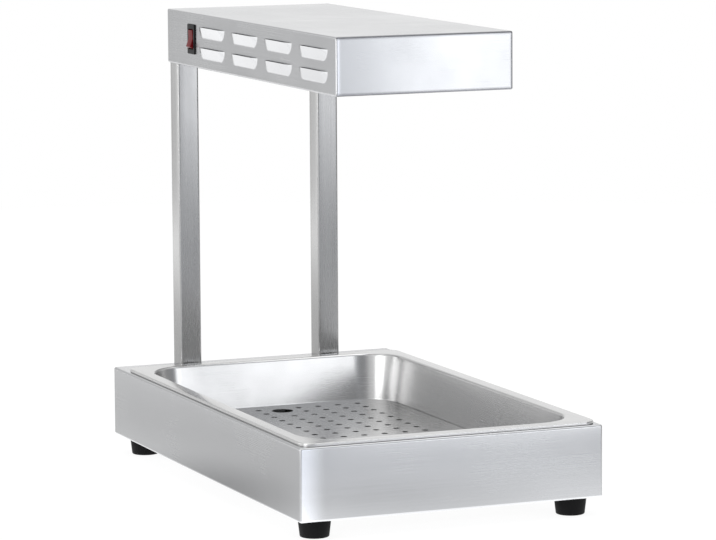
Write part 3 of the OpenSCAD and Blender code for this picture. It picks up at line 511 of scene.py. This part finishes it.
def glassy(name, base, rough):
    """Milky quartz: pale and a little see-through at heart, with drawn streaks along the tube."""
    t = Finish(name)
    streak = t.noise(1.0, 3.0, 0.5, (900.0, 9.0, 900.0))
    return t.shade(Base_Color=t.blend(t.between(streak, 0.0, 1.0), tint(base, 0.94), tint(base, 1.04)),
                   Roughness=t.between(t.noise(120.0), rough - 0.04, rough + 0.06),
                   Normal=t.bump(streak, 0.2, 0.04 * MM), IOR=1.46, Subsurface_Weight=0.25,
                   Subsurface_Scale=2 * MM)


def ribbed(name, base, rough, scale):
    """Wound wire: fine bands round the winding, with a darker oxide between them. A wave of scale 1
    turns by 20 radians in a metre."""
    t = Finish(name)
    bands = t.node("ShaderNodeTexWave", {"Vector": t.place, "Scale": scale, "Distortion": 0.3, "Detail": 1.0},
                   wave_type="BANDS", bands_direction="Y").outputs["Fac"]
    return t.shade(Base_Color=t.blend(bands, tint(base, 0.45), tint(base, 1.15)), Metallic=1.0,
                   Roughness=t.between(t.noise(400.0), rough, rough + 0.2),
                   Normal=t.bump(bands, 0.6, 0.3 * MM))


def finish_of(slot):
    """The material of one of the record's slots, made on first use: its name, its kind, its colour, its
    roughness and what else the kind takes."""
    f = bpy.context.scene.warmer.finish
    name, kind, base, rough, more = {
        # The sheet gets a painted highlight at its fronts' left ends and painted shade on the folds round the
        # hood's front
        "sheet": ("Brushed sheet", brushed, f.sheet_steel, 0.24,
                  {"grain": f.grain, "stretch": 0.15, "painted_light": f.painted_light}),
        "pan_steel": ("Pressed pan steel", brushed, f.pan_steel, 0.24,
                      {"grain": f.grain * 0.7, "spread": 0.03}),
        "tube_steel": ("Polished tube", brushed, f.tube_steel, 0.26,
                       {"grain": f.grain * 0.3, "spread": 0.03, "upright_grain": True, "stretch": 0.8}),
        "zinc": ("Zinc plate", plated, (0.6, 0.61, 0.62), 0.3, {}),
        "reflector_metal": ("Bright reflector", brushed, (0.8, 0.8, 0.8), 0.16, {"grain": f.grain * 0.5}),
        "wire": ("Bright wire", plated, (0.66, 0.66, 0.66), 0.22, {}),
        "foot_rubber": ("Foot rubber", moulded, f.rubber, 0.6,
                        {"texture": 900.0, "depth": 0.1 * MM, "strength": 0.35, "gloss": 0.12}),
        "black_plastic": ("Black plastic", moulded, f.black_plastic, 0.4, {"gloss": 0.12}),
        "red_plastic": ("Red plastic", moulded, f.red_plastic, 0.3, {"gloss": 0.12}),
        "quartz": ("Milky quartz", glassy, (0.86, 0.85, 0.82), 0.22, {}),
        "core": ("Heating coil", ribbed, (0.32, 0.27, 0.23), 0.35, {"scale": 1768.38}),
        "ceramic": ("Glazed ceramic", moulded, (0.84, 0.82, 0.77), 0.4,
                    {"texture": 600.0, "depth": 0.1 * MM}),
        "brass": ("Brass", plated, (0.72, 0.52, 0.2), 0.28, {}),
        "white_plastic": ("White plastic", moulded, (0.8, 0.79, 0.75), 0.38, {}),
    }[slot]
    return bpy.data.materials.get(name) or kind(name, tuple(base), rough, **more)


# Pieces

def base_rings(s, pan):
    """Section of the base's sheet as rings: from the return flange's edge under the base, out to the
    fold, up the side, over the top fold, in along the deck to the pan's cut-out, and back inside at
    the sheet's thickness."""
    half, mid = half_and_middle(BASE_LO, BASE_HI)
    pan_half, pan_mid = half_and_middle(PAN_LO, PAN_HI)
    cut, flange_in = pan_half - pan.flange + s.play, half - s.flange
    low, top = BASE_LO.z, BASE_HI.z

    def fold(radius, start, end, centre_z):
        """Rings round a fold: the corner's radius is the part of the bend that stands out."""
        reach = arc((0.0, centre_z), radius, start, end, FOLD_STEPS)
        return [(*(half - s.bend + x), x, *mid, z) for x, z in reach]

    inner = s.bend - s.sheet
    outside = [(*flange_in, s.flange_corner, *mid, low), *fold(s.bend, -90, 0, low + s.bend),
               *fold(s.bend, 0, 90, top - s.bend), (*cut, pan.wall_corner, *pan_mid, top)]
    inside = [(*cut, pan.wall_corner, *pan_mid, top - s.sheet), *fold(inner, 90, 0, top - s.bend),
              *fold(inner, 0, -90, low + s.bend), (*flange_in, s.flange_corner, *mid, low + s.sheet)]
    return outside + inside


class WARMER_OT_base(Operator):
    """Makes the folded base with its deck and return flange"""
    bl_idname = "warmer.base"
    bl_label = "Base"

    def execute(self, context):
        s = context.scene.warmer
        grid = ring_surface(base_rings(s.base, s.pan), corner=10, side=(6, 8))
        make_piece("Base_sheet", [closed_rings(grid, wrap=True)], "stand", ["base_shell"], "sheet")
        return {"FINISHED"}


def pan_rings(s):
    """Section of the pan's sheet as rings: from the floor's edge up the inside of the wall, over the
    rim, down its turned edge, and back along the underside at the sheet's thickness."""
    half, mid = half_and_middle(PAN_LO, PAN_HI)
    top, floor = PAN_HI.z, PAN_LO.z + s.sheet
    core = half - s.flange - s.wall_corner
    high_z, low_z = top - s.top_bend, floor + s.low_bend
    lean = math.atan(s.draft / (high_z - low_z))
    low_x = s.wall_corner - (s.top_bend + s.low_bend) / math.cos(lean) - (high_z - low_z) * math.tan(lean)
    deg = math.degrees(lean)

    def wall(x, z, radius, start, end, steps):
        """Rings round a bend of the wall about the point (x, z), outwards from the corners' axes."""
        return [(*(core + x), x, *mid, z) for x, z in arc((x, z), radius, start, end, steps)]

    def rim(points):
        """Rings at a distance in from the rim's edge, with the rim's own corner radius."""
        return [(*(half - x), s.rim_corner - x, *mid, z) for x, z in points]

    e, t, foot = s.rim_bend, s.sheet, top - s.rim_edge
    up = wall(low_x, low_z, s.low_bend, -90, -deg, 10)
    up += wall(s.wall_corner, high_z, s.top_bend, 180 - deg, 90, 7)
    up += rim([(e - x, z) for x, z in arc((0.0, top - e), e, 90, 0, 5)] + [(0.0, foot)])
    down = rim([(t, foot)] + [(e - x, z) for x, z in arc((0.0, top - e), e - t, 0, 90, 4)])
    down += wall(s.wall_corner, high_z, s.top_bend - t, 90, 180 - deg, 7)
    return up + down + wall(low_x, low_z, s.low_bend + t, -deg, -90, 10)


class WARMER_OT_pan(Operator):
    """Makes the pressed pan with its rim"""
    bl_idname = "warmer.pan"
    bl_label = "Pan"

    def execute(self, context):
        grid = ring_surface(pan_rings(context.scene.warmer.pan), corner=14, side=(8, 12))
        make_piece("Food_pan", [closed_rings(grid)], "pan", ["gn_pan"], "pan_steel")
        return {"FINISHED"}


class WARMER_OT_posts(Operator):
    """Makes the two square tubes"""
    bl_idname = "warmer.posts"
    bl_label = "Posts"

    def execute(self, context):
        s = context.scene.warmer.posts
        for node in ("post_left", "post_right"):
            lo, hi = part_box(node)
            half, mid = half_and_middle(lo, hi)
            outside = [(*half, s.corner, *mid, z) for z in np.linspace(lo.z, hi.z, 9)]
            inside = [(*(half - s.wall), s.corner - s.wall, *mid, z) for z in (hi.z, lo.z)]
            grid = ring_surface(outside + inside, corner=6, side=(3, 3))
            make_piece(node.capitalize(), [closed_rings(grid, wrap=True)], "stand", [node], "tube_steel")
        return {"FINISHED"}


def foot_profile(s, radius, low, top):
    """Half the section of a foot as (radius, height): up the well and out under its roof's edge, round
    the lower edge, up the leaning wall, over the upper edge and down the bore."""
    roof, lean = low + s.well_depth, 6
    low_edge = arc((radius - s.taper - s.low_edge, low + s.low_edge), s.low_edge, -90, -lean, 6)
    top_edge = arc((radius - s.top_edge, top - s.top_edge), s.top_edge, -lean, 90, 4)
    return [(s.bore, roof), (s.well, roof), (s.well, low), *low_edge, *top_edge, (s.bore, top),
            (s.bore, roof)]


class WARMER_OT_feet(Operator):
    """Makes the four tapered rubber feet"""
    bl_idname = "warmer.feet"
    bl_label = "Feet"

    def execute(self, context):
        for node in ("foot_front_left", "foot_front_right", "foot_rear_left", "foot_rear_right"):
            lo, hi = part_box(node)
            half, mid = half_and_middle(lo, hi)
            foot = lathe(foot_profile(context.scene.warmer.feet, half[0], lo.z, hi.z), mid, 64)
            make_piece(node.capitalize(), [foot], "stand", [node], "foot_rubber")
        return {"FINISHED"}


def press_out(y, below, s):
    """How far a louvre is pressed out at a distance along the sheet from its middle and a distance
    below its mouth: its full depth times one less the distance from the straight middle of the mouth
    as a share of its height, so that it slopes evenly down to a D outline. Where it meets the sheet
    it is rounded off."""
    straight = s.louvre_long / 2 - s.louvre_high
    end = np.maximum(np.abs(y) - straight, 0.0)
    away = np.sqrt(below ** 2 + end ** 2) / s.louvre_high
    raw = s.louvre_out * (1.0 - away)
    k = s.louvre_fillet
    soft = np.where(raw > k, raw, (raw + k) ** 2 / (4 * k))
    return np.where(raw < -k, 0.0, soft)


def side_lines(s, y0, y1):
    """Places along the hood for the side's grid, close together over the louvres' ends, and the
    louvres' middles."""
    beyond, from_edge, apart = 1.5 * MM, 0.3 * MM, 0.25 * MM
    middles = HOOD_LO.y + s.louvre_first + s.louvre_step * np.arange(s.louvres)
    core = s.louvre_long / 2 - s.louvre_high
    ends = np.linspace(core, s.louvre_long / 2 + beyond, LOUVRE_LINES)
    over = np.concatenate([-ends, ends, np.linspace(-core, core, 8)])
    lines = np.sort(np.concatenate([np.linspace(y0, y1, 14)[1:-1], (middles[:, None] + over).ravel()]))
    lines = lines[(lines > y0 + from_edge) & (lines < y1 - from_edge)]
    return np.concatenate([[y0], lines[np.diff(lines, prepend=-np.inf) > apart], [y1]]), middles


def louvred_side(s, side, y0, y1, z0, z1, hole=None):
    """One flat side of the hood between its folds, as a closed sheet: a grid over length and height
    whose outer and inner faces are pushed out by the louvres, slit along each mouth. The hole is two
    places along and two up, and reaches to the grid's next lines up and down."""
    margin, near_hole, least, tiny = 1.2 * MM, 0.3 * MM, 0.02 * MM, 1e-9
    ys, middles = side_lines(s, y0, y1)
    if hole:
        away = np.abs(ys[:, None] - np.array(hole[:2])).min(axis=1)
        ys = np.sort(np.concatenate([ys[away > near_hole], hole[:2]]))
    mouths = HOOD_LO.z + s.louvre_low + s.louvre_rise * np.arange(s.rows)
    lines = mouths[:, None] - np.linspace(s.louvre_high + margin, 0, LOUVRE_LINES)
    zs = np.concatenate([[z0], np.column_stack([lines, mouths]).ravel(), [z1]])
    pressed = np.array([False] + ([True] * LOUVRE_LINES + [False]) * s.rows + [False])
    slit = LOUVRE_LINES + (LOUVRE_LINES + 1) * np.arange(s.rows)
    along = ys[None, :, None] - middles
    push = np.zeros((len(zs), len(ys)))
    for mouth in mouths:
        below = mouth - zs
        on = pressed & (below > -tiny) & (below < s.louvre_high + 2 * margin)
        push = np.where(on[:, None], press_out(along, below[:, None, None], s).max(axis=2), push)
    push = np.where(push < least, 0.0, push)
    rows, cols = push.shape
    skins = np.stack([HOOD_SIDE_X + push, HOOD_SIDE_X - s.sheet + push]) * side
    points = np.stack(np.broadcast_arrays(skins, ys, zs[:, None]), -1).reshape(-1, 3)
    index = np.arange(2 * rows * cols).reshape(2, rows, cols)
    faces = []

    def wall(line, flip, where=slice(None)):
        """Faces between the outer and the inner skin along a line of points."""
        quads = np.stack([line[0, :-1], line[1, :-1], line[1, 1:], line[0, 1:]], -1)[where]
        faces.append(quads[:, ::-1] if flip else quads)

    kept = np.ones((rows - 1, cols - 1), bool)
    kept[slit] = False
    if hole:
        left, right = np.searchsorted(ys, np.array(hole[:2]) - tiny)
        low, high = np.searchsorted(zs, hole[2], side="right") - 1, np.searchsorted(zs, hole[3])
        kept[low:high, left:right] = False
        wall(index[:, low, left:right + 1], True)
        wall(index[:, high, left:right + 1], False)
        wall(index[:, low:high + 1, left], False)
        wall(index[:, low:high + 1, right], True)
    for flip, skin in ((1, index[0]), (-1, index[1])):
        quads = np.stack([skin[:-1, :-1], skin[:-1, 1:], skin[1:, 1:], skin[1:, :-1]], -1)[kept]
        faces.append(quads[:, ::flip])
    for k in slit:
        mouth = push[k, :-1] + push[k, 1:] > 0.0
        wall(index[:, k], True, mouth)
        wall(index[:, k + 1], False, mouth)
    wall(index[:, 0], False)
    wall(index[:, -1], True)
    wall(index[:, :, 0], True)
    wall(index[:, :, -1], False)
    used, quads = np.unique(np.concatenate(faces), return_inverse=True)
    return points[used], quads.reshape(-1, 4).tolist()


def switch_hole(s):
    """The hole for the switch's body in the hood's left side, as two places along and two up."""
    fit = 0.1 * MM
    inset = s.step - fit
    return BEZEL_LO.y + inset, BEZEL_HI.y - inset, BEZEL_LO.z + inset, BEZEL_HI.z - inset


def front_path(s, legs=(), middle=False):
    """The way round the hood seen from above, as places and outward directions: forward along the
    left side through each leg's y, a quarter turn about each front corner's axis, and back along the
    right, with a point in the middle of the front where one is wanted. The right half mirrors the
    left, and its angles are 540 degrees less the left's."""
    axis_x, axis_y = HOOD_SIDE_X - s.bend, HOOD_LO.y + s.bend
    left = [(-axis_x, y, 180) for y in legs]
    left += [(-axis_x, axis_y, a) for a in np.linspace(180, 270, CORNER_POINTS)]
    right = [(-x, y, 540 - a) for x, y, a in left[::-1]]
    path = np.array(left + [(0.0, axis_y, 270)] * middle + right)
    a = np.radians(path[:, 2])
    return path[:, :2], np.stack([np.cos(a), np.sin(a)], 1)


def lower_folds(s, low, rear):
    """The lower flange and its fold, carried round the hood as one closed section."""
    outside = [(s.bend - s.flange, low), *arc((0.0, low + s.bend), s.bend, -90, 0, FOLD_STEPS)]
    inside = [(s.bend - s.flange, low + s.sheet),
              *arc((0.0, low + s.bend), s.bend - s.sheet, -90, 0, FOLD_STEPS)]
    path = front_path(s, (rear, (rear + HOOD_LO.y + s.bend) / 2), middle=True)
    return closed_rings(carried(path, outside + inside[::-1]))


def top_and_folds(s, top, rear):
    """The top fold and the flat top as one cap: two skins with one flat face each, and walls along
    their lower and rear edges."""
    path = front_path(s, (rear,))
    outer, inner = (carried(path, arc((0.0, top - s.bend), r, 0, 90, FOLD_STEPS))
                    for r in (s.bend, s.bend - s.sheet))
    n, m = outer.shape[:2]
    quads = grid_faces(n, m, wrap_columns=False)
    index = np.arange(2 * n * m).reshape(2, n, m)
    faces = quads + [[k + n * m for k in face[::-1]] for face in quads]
    faces += [index[0, :, -1].tolist(), index[1, ::-1, -1].tolist()]
    faces += np.stack([index[0, :-1, 0], index[1, :-1, 0], index[1, 1:, 0], index[0, 1:, 0]], -1).tolist()
    faces += [index[0, 0].tolist() + index[1, 0, ::-1].tolist(),
              index[0, -1, ::-1].tolist() + index[1, -1].tolist(),
              [index[0, 0, -1], index[0, -1, -1], index[1, -1, -1], index[1, 0, -1]]]
    return np.concatenate([outer.reshape(-1, 3), inner.reshape(-1, 3)]), faces


def front_panel(s, z0, z1):
    """The front between its folds: a sheet carried round both upright corners."""
    zs = np.linspace(z0, z1, 5)
    outer, inner = (carried(front_path(s), [(r, z) for z in zs]) for r in (s.bend, s.bend - s.sheet))
    return closed_rings(np.concatenate([outer, inner[::-1]]).transpose(1, 0, 2))


def rear_flange(s, z0, top, rear):
    """The flange behind the rear panel: an upside-down U of sheet, from the sides' feet over the top."""
    x, w = HOOD_SIDE_X - s.sheet, s.back_flange
    up, inner = top - s.sheet, x - w
    ring = np.array([(-x, z0), (-x, up), (x, up), (x, z0), (inner, z0), (inner, top - w), (-inner, top - w),
                     (-inner, z0)])
    plate = np.concatenate([np.insert(ring, 1, y, axis=1) for y in (rear - s.sheet, rear)])
    faces = [[0, 1, 6, 7], [1, 2, 5, 6], [2, 3, 4, 5]]
    faces += [[k + 8 for k in face[::-1]] for face in faces]
    return plate, faces + [[k + 8, (k + 1) % 8 + 8, (k + 1) % 8, k] for k in range(8)]


class WARMER_OT_hood(Operator):
    """Makes the folded hood with its pressed louvres"""
    bl_idname = "warmer.hood"
    bl_label = "Hood"

    def execute(self, context):
        s = context.scene.warmer.hood
        low, top, rear = HOOD_LO.z, HOOD_HI.z, HOOD_HI.y
        z0, z1 = low + s.bend, top - s.bend
        parts = [louvred_side(s, side, HOOD_LO.y + s.bend, rear, z0, z1, hole)
                 for side, hole in ((-1, switch_hole(context.scene.warmer.switch)), (1, None))]
        parts += [lower_folds(s, low, rear), top_and_folds(s, top, rear), front_panel(s, z0, z1),
                  rear_flange(s, z0, top, rear)]
        make_piece("Hood_sheet", parts, "stand", ["hood_shell"], "sheet", 40.0)
        return {"FINISHED"}


def to_left(points):
    """Turns a shape drawn with x across, y up and z outwards on to the hood's left side."""
    return np.stack([-HOOD_SIDE_X - points[:, 2], -points[:, 0], points[:, 1]], 1)


def bezel_rings(s, half, middle):
    """Section of the switch's body as rounded rectangles: from the floor of the well up its wall,
    over the plate's face and rounded edge to the hood, and back along the body inside."""
    y, z = middle
    lip, body_corner, deep = 0.4 * MM, 0.6 * MM, BEZEL_HI.x + HOOD_SIDE_X
    well, body = half - np.array([s.rim_side, s.rim_end]), half - s.step
    rings = [(*well, lip, -y, z, -deep / 2), (*well, lip, -y, z, s.plate - lip),
             (*(well + lip), 2 * lip, -y, z, s.plate)]
    rings += [(*(half + out), s.corner + out, -y, z, up)
              for out, up in arc((-s.edge, s.plate - s.edge), s.edge, 90, 0, FOLD_STEPS)]
    return rings + [(*half, s.corner, -y, z, 0.0), (*body, body_corner, -y, z, 0.0),
                    (*body, body_corner, -y, z, -deep)]


def rocker_outline(s):
    """The rocker's section as (outwards, up) from its pivot: a dished face whose distance out is the
    valley's plus the root of a small square and the slope's square, round ends about the pivot, and
    a flat back."""
    past_face, back = 3.5, 104
    up = np.linspace(-s.reach_up, s.reach_up, 33)
    out = s.valley - s.soft + np.sqrt(s.soft ** 2 + (up * s.dish) ** 2)
    end = arc((0.0, 0.0), s.end_radius, math.degrees(math.atan2(up[-1], out[-1])) + past_face, back, 9)
    return np.concatenate([np.stack([out, up], 1), end, (end * [1, -1])[::-1]])


def drawn_across(outline, half, edge, steps=4):
    """Carries a closed outline across the switch: rings from one end to the other, drawn in along
    their own normals where the ends are rounded over."""
    step = np.roll(outline, -1, 0) - np.roll(outline, 1, 0)
    normal = np.stack([step[:, 1], -step[:, 0]], 1) / np.linalg.norm(step, axis=1, keepdims=True)
    a = np.linspace(0, math.pi / 2, steps + 1)
    inset = np.concatenate([edge * (1 - np.sin(a)), edge * (1 - np.sin(a[::-1]))])
    across = np.concatenate([-half + edge * (1 - np.cos(a)), half - edge * (1 - np.cos(a[::-1]))])
    return with_third(outline - inset[:, None, None] * normal, across[:, None, None])


def tipped(points, s, middle):
    """Turns points given as (outwards, up, along) by the rocker's tip and sets them on the hood's
    left side: outwards is towards -x, with the lower end out."""
    out = points[:, 0] * math.cos(s.tip) - points[:, 1] * math.sin(s.tip)
    up = points[:, 0] * math.sin(s.tip) + points[:, 1] * math.cos(s.tip)
    return np.stack([s.pivot - HOOD_SIDE_X - out, middle[0] + points[:, 2], middle[1] + up], 1)


class WARMER_OT_switch(Operator):
    """Makes the switch's bezel and its rocker"""
    bl_idname = "warmer.switch"
    bl_label = "Switch"

    def execute(self, context):
        s = context.scene.warmer.switch
        half, middle = half_and_middle(BEZEL_LO, BEZEL_HI, (1, 2))
        grid = ring_surface(bezel_rings(s, half, middle), corner=5, side=(2, 3))
        points, faces = closed_rings(grid)
        make_piece("Switch_bezel", [(to_left(points), faces)], "stand", ["switch_housing"], "black_plastic")
        pin, pin_edge = arc((0.0, 0.0), s.pin / 2, 0, 330, 11), 0.2 * MM
        shapes = (drawn_across(rocker_outline(s), s.rocker_width / 2, s.edge),
                  drawn_across(pin, (ROCKER_HI.y - ROCKER_LO.y) / 2, pin_edge))
        parts = [(tipped(points, s, middle), faces) for points, faces in map(closed_rings, shapes)]
        make_piece("Switch_rocker", parts, "rocker", ["switch_rocker"], "red_plastic")
        return {"FINISHED"}


class WARMER_OT_finishes(Operator):
    """Gives every carried-over piece its finish"""
    bl_idname = "warmer.finishes"
    bl_label = "Finishes"

    def execute(self, context):
        for part in frame["record"]["subparts"]:
            node = frame["nodes"].get(part["node"])
            if node is None:
                raise RuntimeError("no node named " + part["node"])
            node.data.materials.clear()
            node.data.materials.append(finish_of(part["material_slot"]))
        return {"FINISHED"}


# Stage

# Place, reach and strength of the pools of painted light and painted shade in the floor's glow that the metal
# shows;
# the strong dark one under the object is a painted shadow
FLOOR_POOLS = (
    ((0.0, -0.02), 0.36, -1.3), ((-0.32, 0.35), 0.6, -0.1), ((-0.9, 2.0), 1.0, 1.2),
    ((0.75, -1.6), 1.1, -0.8), ((0.22, -0.7), 0.4, 0.22), ((-1.5, 1.15), 0.95, 0.9),
    ((0.0, -0.65), 0.3, 0.1), ((0.0, -0.42), 0.24, -0.32),
)

# Direction, where it begins and is full as a cosine, and strength of each soft light
SOFT_LIGHTS = (
    ((0.45, 0.85, 0.22), 0.86, 0.99, 0.25),
    ((-0.75, -0.2, 0.62), 0.55, 0.98, 0.3),
    ((0.376, -0.914, -0.08), 0.93, 0.995, 0.55),
    ((-0.376, 0.914, -0.12), 0.95, 0.998, -0.12),
    ((-0.78, 0.6, 0.0), 0.86, 0.99, 1.2),
    ((0.85, -0.52, 0.05), 0.85, 0.98, -0.5),
    ((-0.12, -0.99, 0.05), 0.9, 0.99, -0.5),
    ((0.95, 0.3, -0.1), 0.9, 0.99, -0.6),
)

# Direction that the cool light comes from, and where it begins and is full as a cosine
COOL_WAY = (0.376, -0.914, 0.0)
COOL_START, COOL_FULL = 0.5, 0.95
WHITE = (1.0, 1.0, 1.0, 1.0)


class WARMER_OT_stage(Operator):
    """Sets the floor, the soft light and the camera"""
    bl_idname = "warmer.stage"
    bl_label = "Stage"

    def execute(self, context):
        s = context.scene.warmer.stage
        lay_floor(s)
        light_room(s)
        hang_lamp("Soft box", (0.1, -0.1, 2.1), (0.0, 0.0, 0.2), (2.4, 2.4), s.soft_box)
        hang_lamp("Side box", (-3.0, -1.3, 0.6), (0.0, 0.0, 0.3), (1.6, 1.2), s.side_box)
        hang_lamp("Front box", (1.8, -3.3, 0.55), (0.0, 0.0, 0.35), (1.3, 1.2), s.front_box)
        place_camera(s)
        return {"FINISHED"}


def lay_floor(s):
    """A round sheet just under the feet: points at (r cos a, r sin a) on rings out to its edge."""
    rings, spokes, gap = 9, 64, 0.2 * MM
    radius = np.linspace(0, s.floor_radius, rings)[:, None]
    a = np.linspace(0, 2 * math.pi, spokes, endpoint=False)
    grid = np.stack([radius * np.cos(a), radius * np.sin(a), 0 * radius * a - gap], axis=2)
    mesh = bpy.data.meshes.new("Floor")
    mesh.from_pydata(grid.reshape(-1, 3), [], [face[::-1] for face in grid_faces(rings, spokes)])
    mesh.validate()
    mesh.materials.append(floor_finish(s))
    floor = add_object("Floor", mesh)


def floor_finish(s):
    """The floor's material. What lights the object is the pale floor itself. The camera and mirrored
    rays see it mostly as an even glow: a little over white for the camera, so that only the shadow
    shows, and for the metal a level that rises where the floor is seen steeply, changed by the pools
    and cool towards the front. From beneath it is clear."""
    t = Finish("Pale floor")
    t.shade(Base_Color=t.blend(t.noise(2.0), tint(s.floor), tint(s.floor, 0.99)), Roughness=0.9,
            Specular_IOR_Level=0.0)
    least, white_level = 0.05, 1.06
    facing = t.node("ShaderNodeLayerWeight", {"Blend": 0.5}).outputs["Facing"]
    level = t.maths("ADD", s.floor_mirrored, t.between(facing, s.floor_steep, 0.0, 0.5, 0.8))
    for middle, reach, amount in FLOOR_POOLS:
        away = t.measure("DISTANCE", t.place, (*middle, 0.0))
        level = t.maths("ADD", level, t.eased(away, amount, 0.0, 0.0, reach))
    path = t.node("ShaderNodeLightPath").outputs
    camera = path["Is Camera Ray"]
    strength = t.mix(camera, t.maths("MAXIMUM", level, least), white_level)
    front = t.between(t.at[1], 1.0, 0.0, -0.9, -0.2)
    cast = t.blend(t.maths("MULTIPLY", front, t.maths("SUBTRACT", 1.0, camera)), WHITE, tint(s.cool))
    glow = t.node("ShaderNodeEmission", {"Color": cast, "Strength": strength}).outputs[0]
    seen = t.maths("MAXIMUM", camera, path["Is Glossy Ray"], path["Is Transmission Ray"])
    glowing = t.maths("MULTIPLY", seen, 1.0 - s.shadow)
    sheet = t.node("ShaderNodeMixShader", {0: glowing, 1: t.shader.outputs[0], 2: glow}).outputs[0]
    under = t.node("ShaderNodeNewGeometry").outputs["Backfacing"]
    clear = t.node("ShaderNodeBsdfTransparent").outputs[0]
    t.feed(t.out, {"Surface": t.node("ShaderNodeMixShader", {0: under, 1: sheet, 2: clear}).outputs[0]})
    return t.material


def light_room(s):
    """A white room. The camera sees it plain white. What it lights and what the metal reflects is a
    soft level, with wide soft lights added towards a few directions: each one rises smoothly from
    nothing to its full strength as the direction comes close to its own."""
    world = bpy.data.worlds.new("Room")
    bpy.context.scene.world = world
    world.use_nodes = True
    t = Nodes(world.node_tree)
    way = t.node("ShaderNodeTexCoord").outputs["Generated"]
    path = t.node("ShaderNodeLightPath").outputs
    camera = path["Is Camera Ray"]
    total = t.between(path["Is Glossy Ray"], s.room, s.mirrored, 0.0, 1.0)
    for towards, start, full, strength in SOFT_LIGHTS:
        near = t.measure("DOT_PRODUCT", way, Vector(towards).normalized())
        total = t.maths("ADD", total, t.eased(near, 0.0, strength, start, full))
    near = t.between(t.measure("DOT_PRODUCT", way, COOL_WAY), 0.0, 1.0, COOL_START, COOL_FULL)
    cast = t.blend(t.mix(camera, near, 0.0), WHITE, tint(s.cool))
    back = t.node("ShaderNodeBackground", {"Color": cast, "Strength": t.mix(camera, total, 1.0)})
    t.node("ShaderNodeOutputWorld", {"Surface": back.outputs[0]})


def hang_lamp(name, place, aim, size_xy, power):
    """A lamp with a rectangular face that looks at its aim."""
    data = bpy.data.lights.new(name, "AREA")
    data.shape = "RECTANGLE"
    data.size, data.size_y = size_xy
    data.energy = power
    lamp = add_object(name, data)
    away = Vector(place) - Vector(aim)
    lamp.matrix_world = Matrix.Translation(place) @ away.to_track_quat("Z", "Y").to_matrix().to_4x4()


def place_camera(s):
    """The camera leans about its line of sight, is tipped down from level, and is turned to the right
    of straight ahead."""
    data = bpy.data.cameras.new("Camera")
    data.sensor_fit = "HORIZONTAL"
    data.sensor_width = 36.0
    data.lens = s.lens
    data.clip_end = 60.0
    camera = add_object("Camera", data)
    turned = (Matrix.Rotation(-s.turn, 4, "Z") @ Matrix.Rotation(math.pi / 2 - s.tip, 4, "X")
              @ Matrix.Rotation(s.lean, 4, "Z"))
    camera.matrix_world = Matrix.Translation(s.eye) @ turned
    bpy.context.scene.camera = camera
    bpy.context.scene.view_settings.view_transform = "Standard"


# Panel and registration

OPERATORS = (
    WARMER_OT_finishes, WARMER_OT_base, WARMER_OT_pan, WARMER_OT_posts, WARMER_OT_feet, WARMER_OT_hood,
    WARMER_OT_switch, WARMER_OT_stage,
)


class WARMER_PT_pieces(Panel):
    """Lists the chip warmer's pieces"""
    bl_label = "Chip warmer"
    bl_idname = "WARMER_PT_pieces"
    bl_space_type = "VIEW_3D"
    bl_region_type = "UI"
    bl_category = "Chip warmer"

    def draw(self, context):
        for operator in OPERATORS:
            self.layout.operator(operator.bl_idname)


CLASSES = (
    WarmerBase, WarmerPan, WarmerPosts, WarmerFeet, WarmerHood, WarmerSwitch, WarmerFinish, WarmerStage,
    WarmerSettings, *OPERATORS, WARMER_PT_pieces,
)


def register():
    for cls in CLASSES:
        bpy.utils.register_class(cls)
    bpy.types.Scene.warmer = PointerProperty(type=WarmerSettings)


def unregister():
    del bpy.types.Scene.warmer
    for cls in reversed(CLASSES):
        bpy.utils.unregister_class(cls)


def main():
    register()
    for operator in OPERATORS:
        group, name = operator.bl_idname.split(".")
        getattr(getattr(bpy.ops, group), name)()


if __name__ == "__main__":
    main()
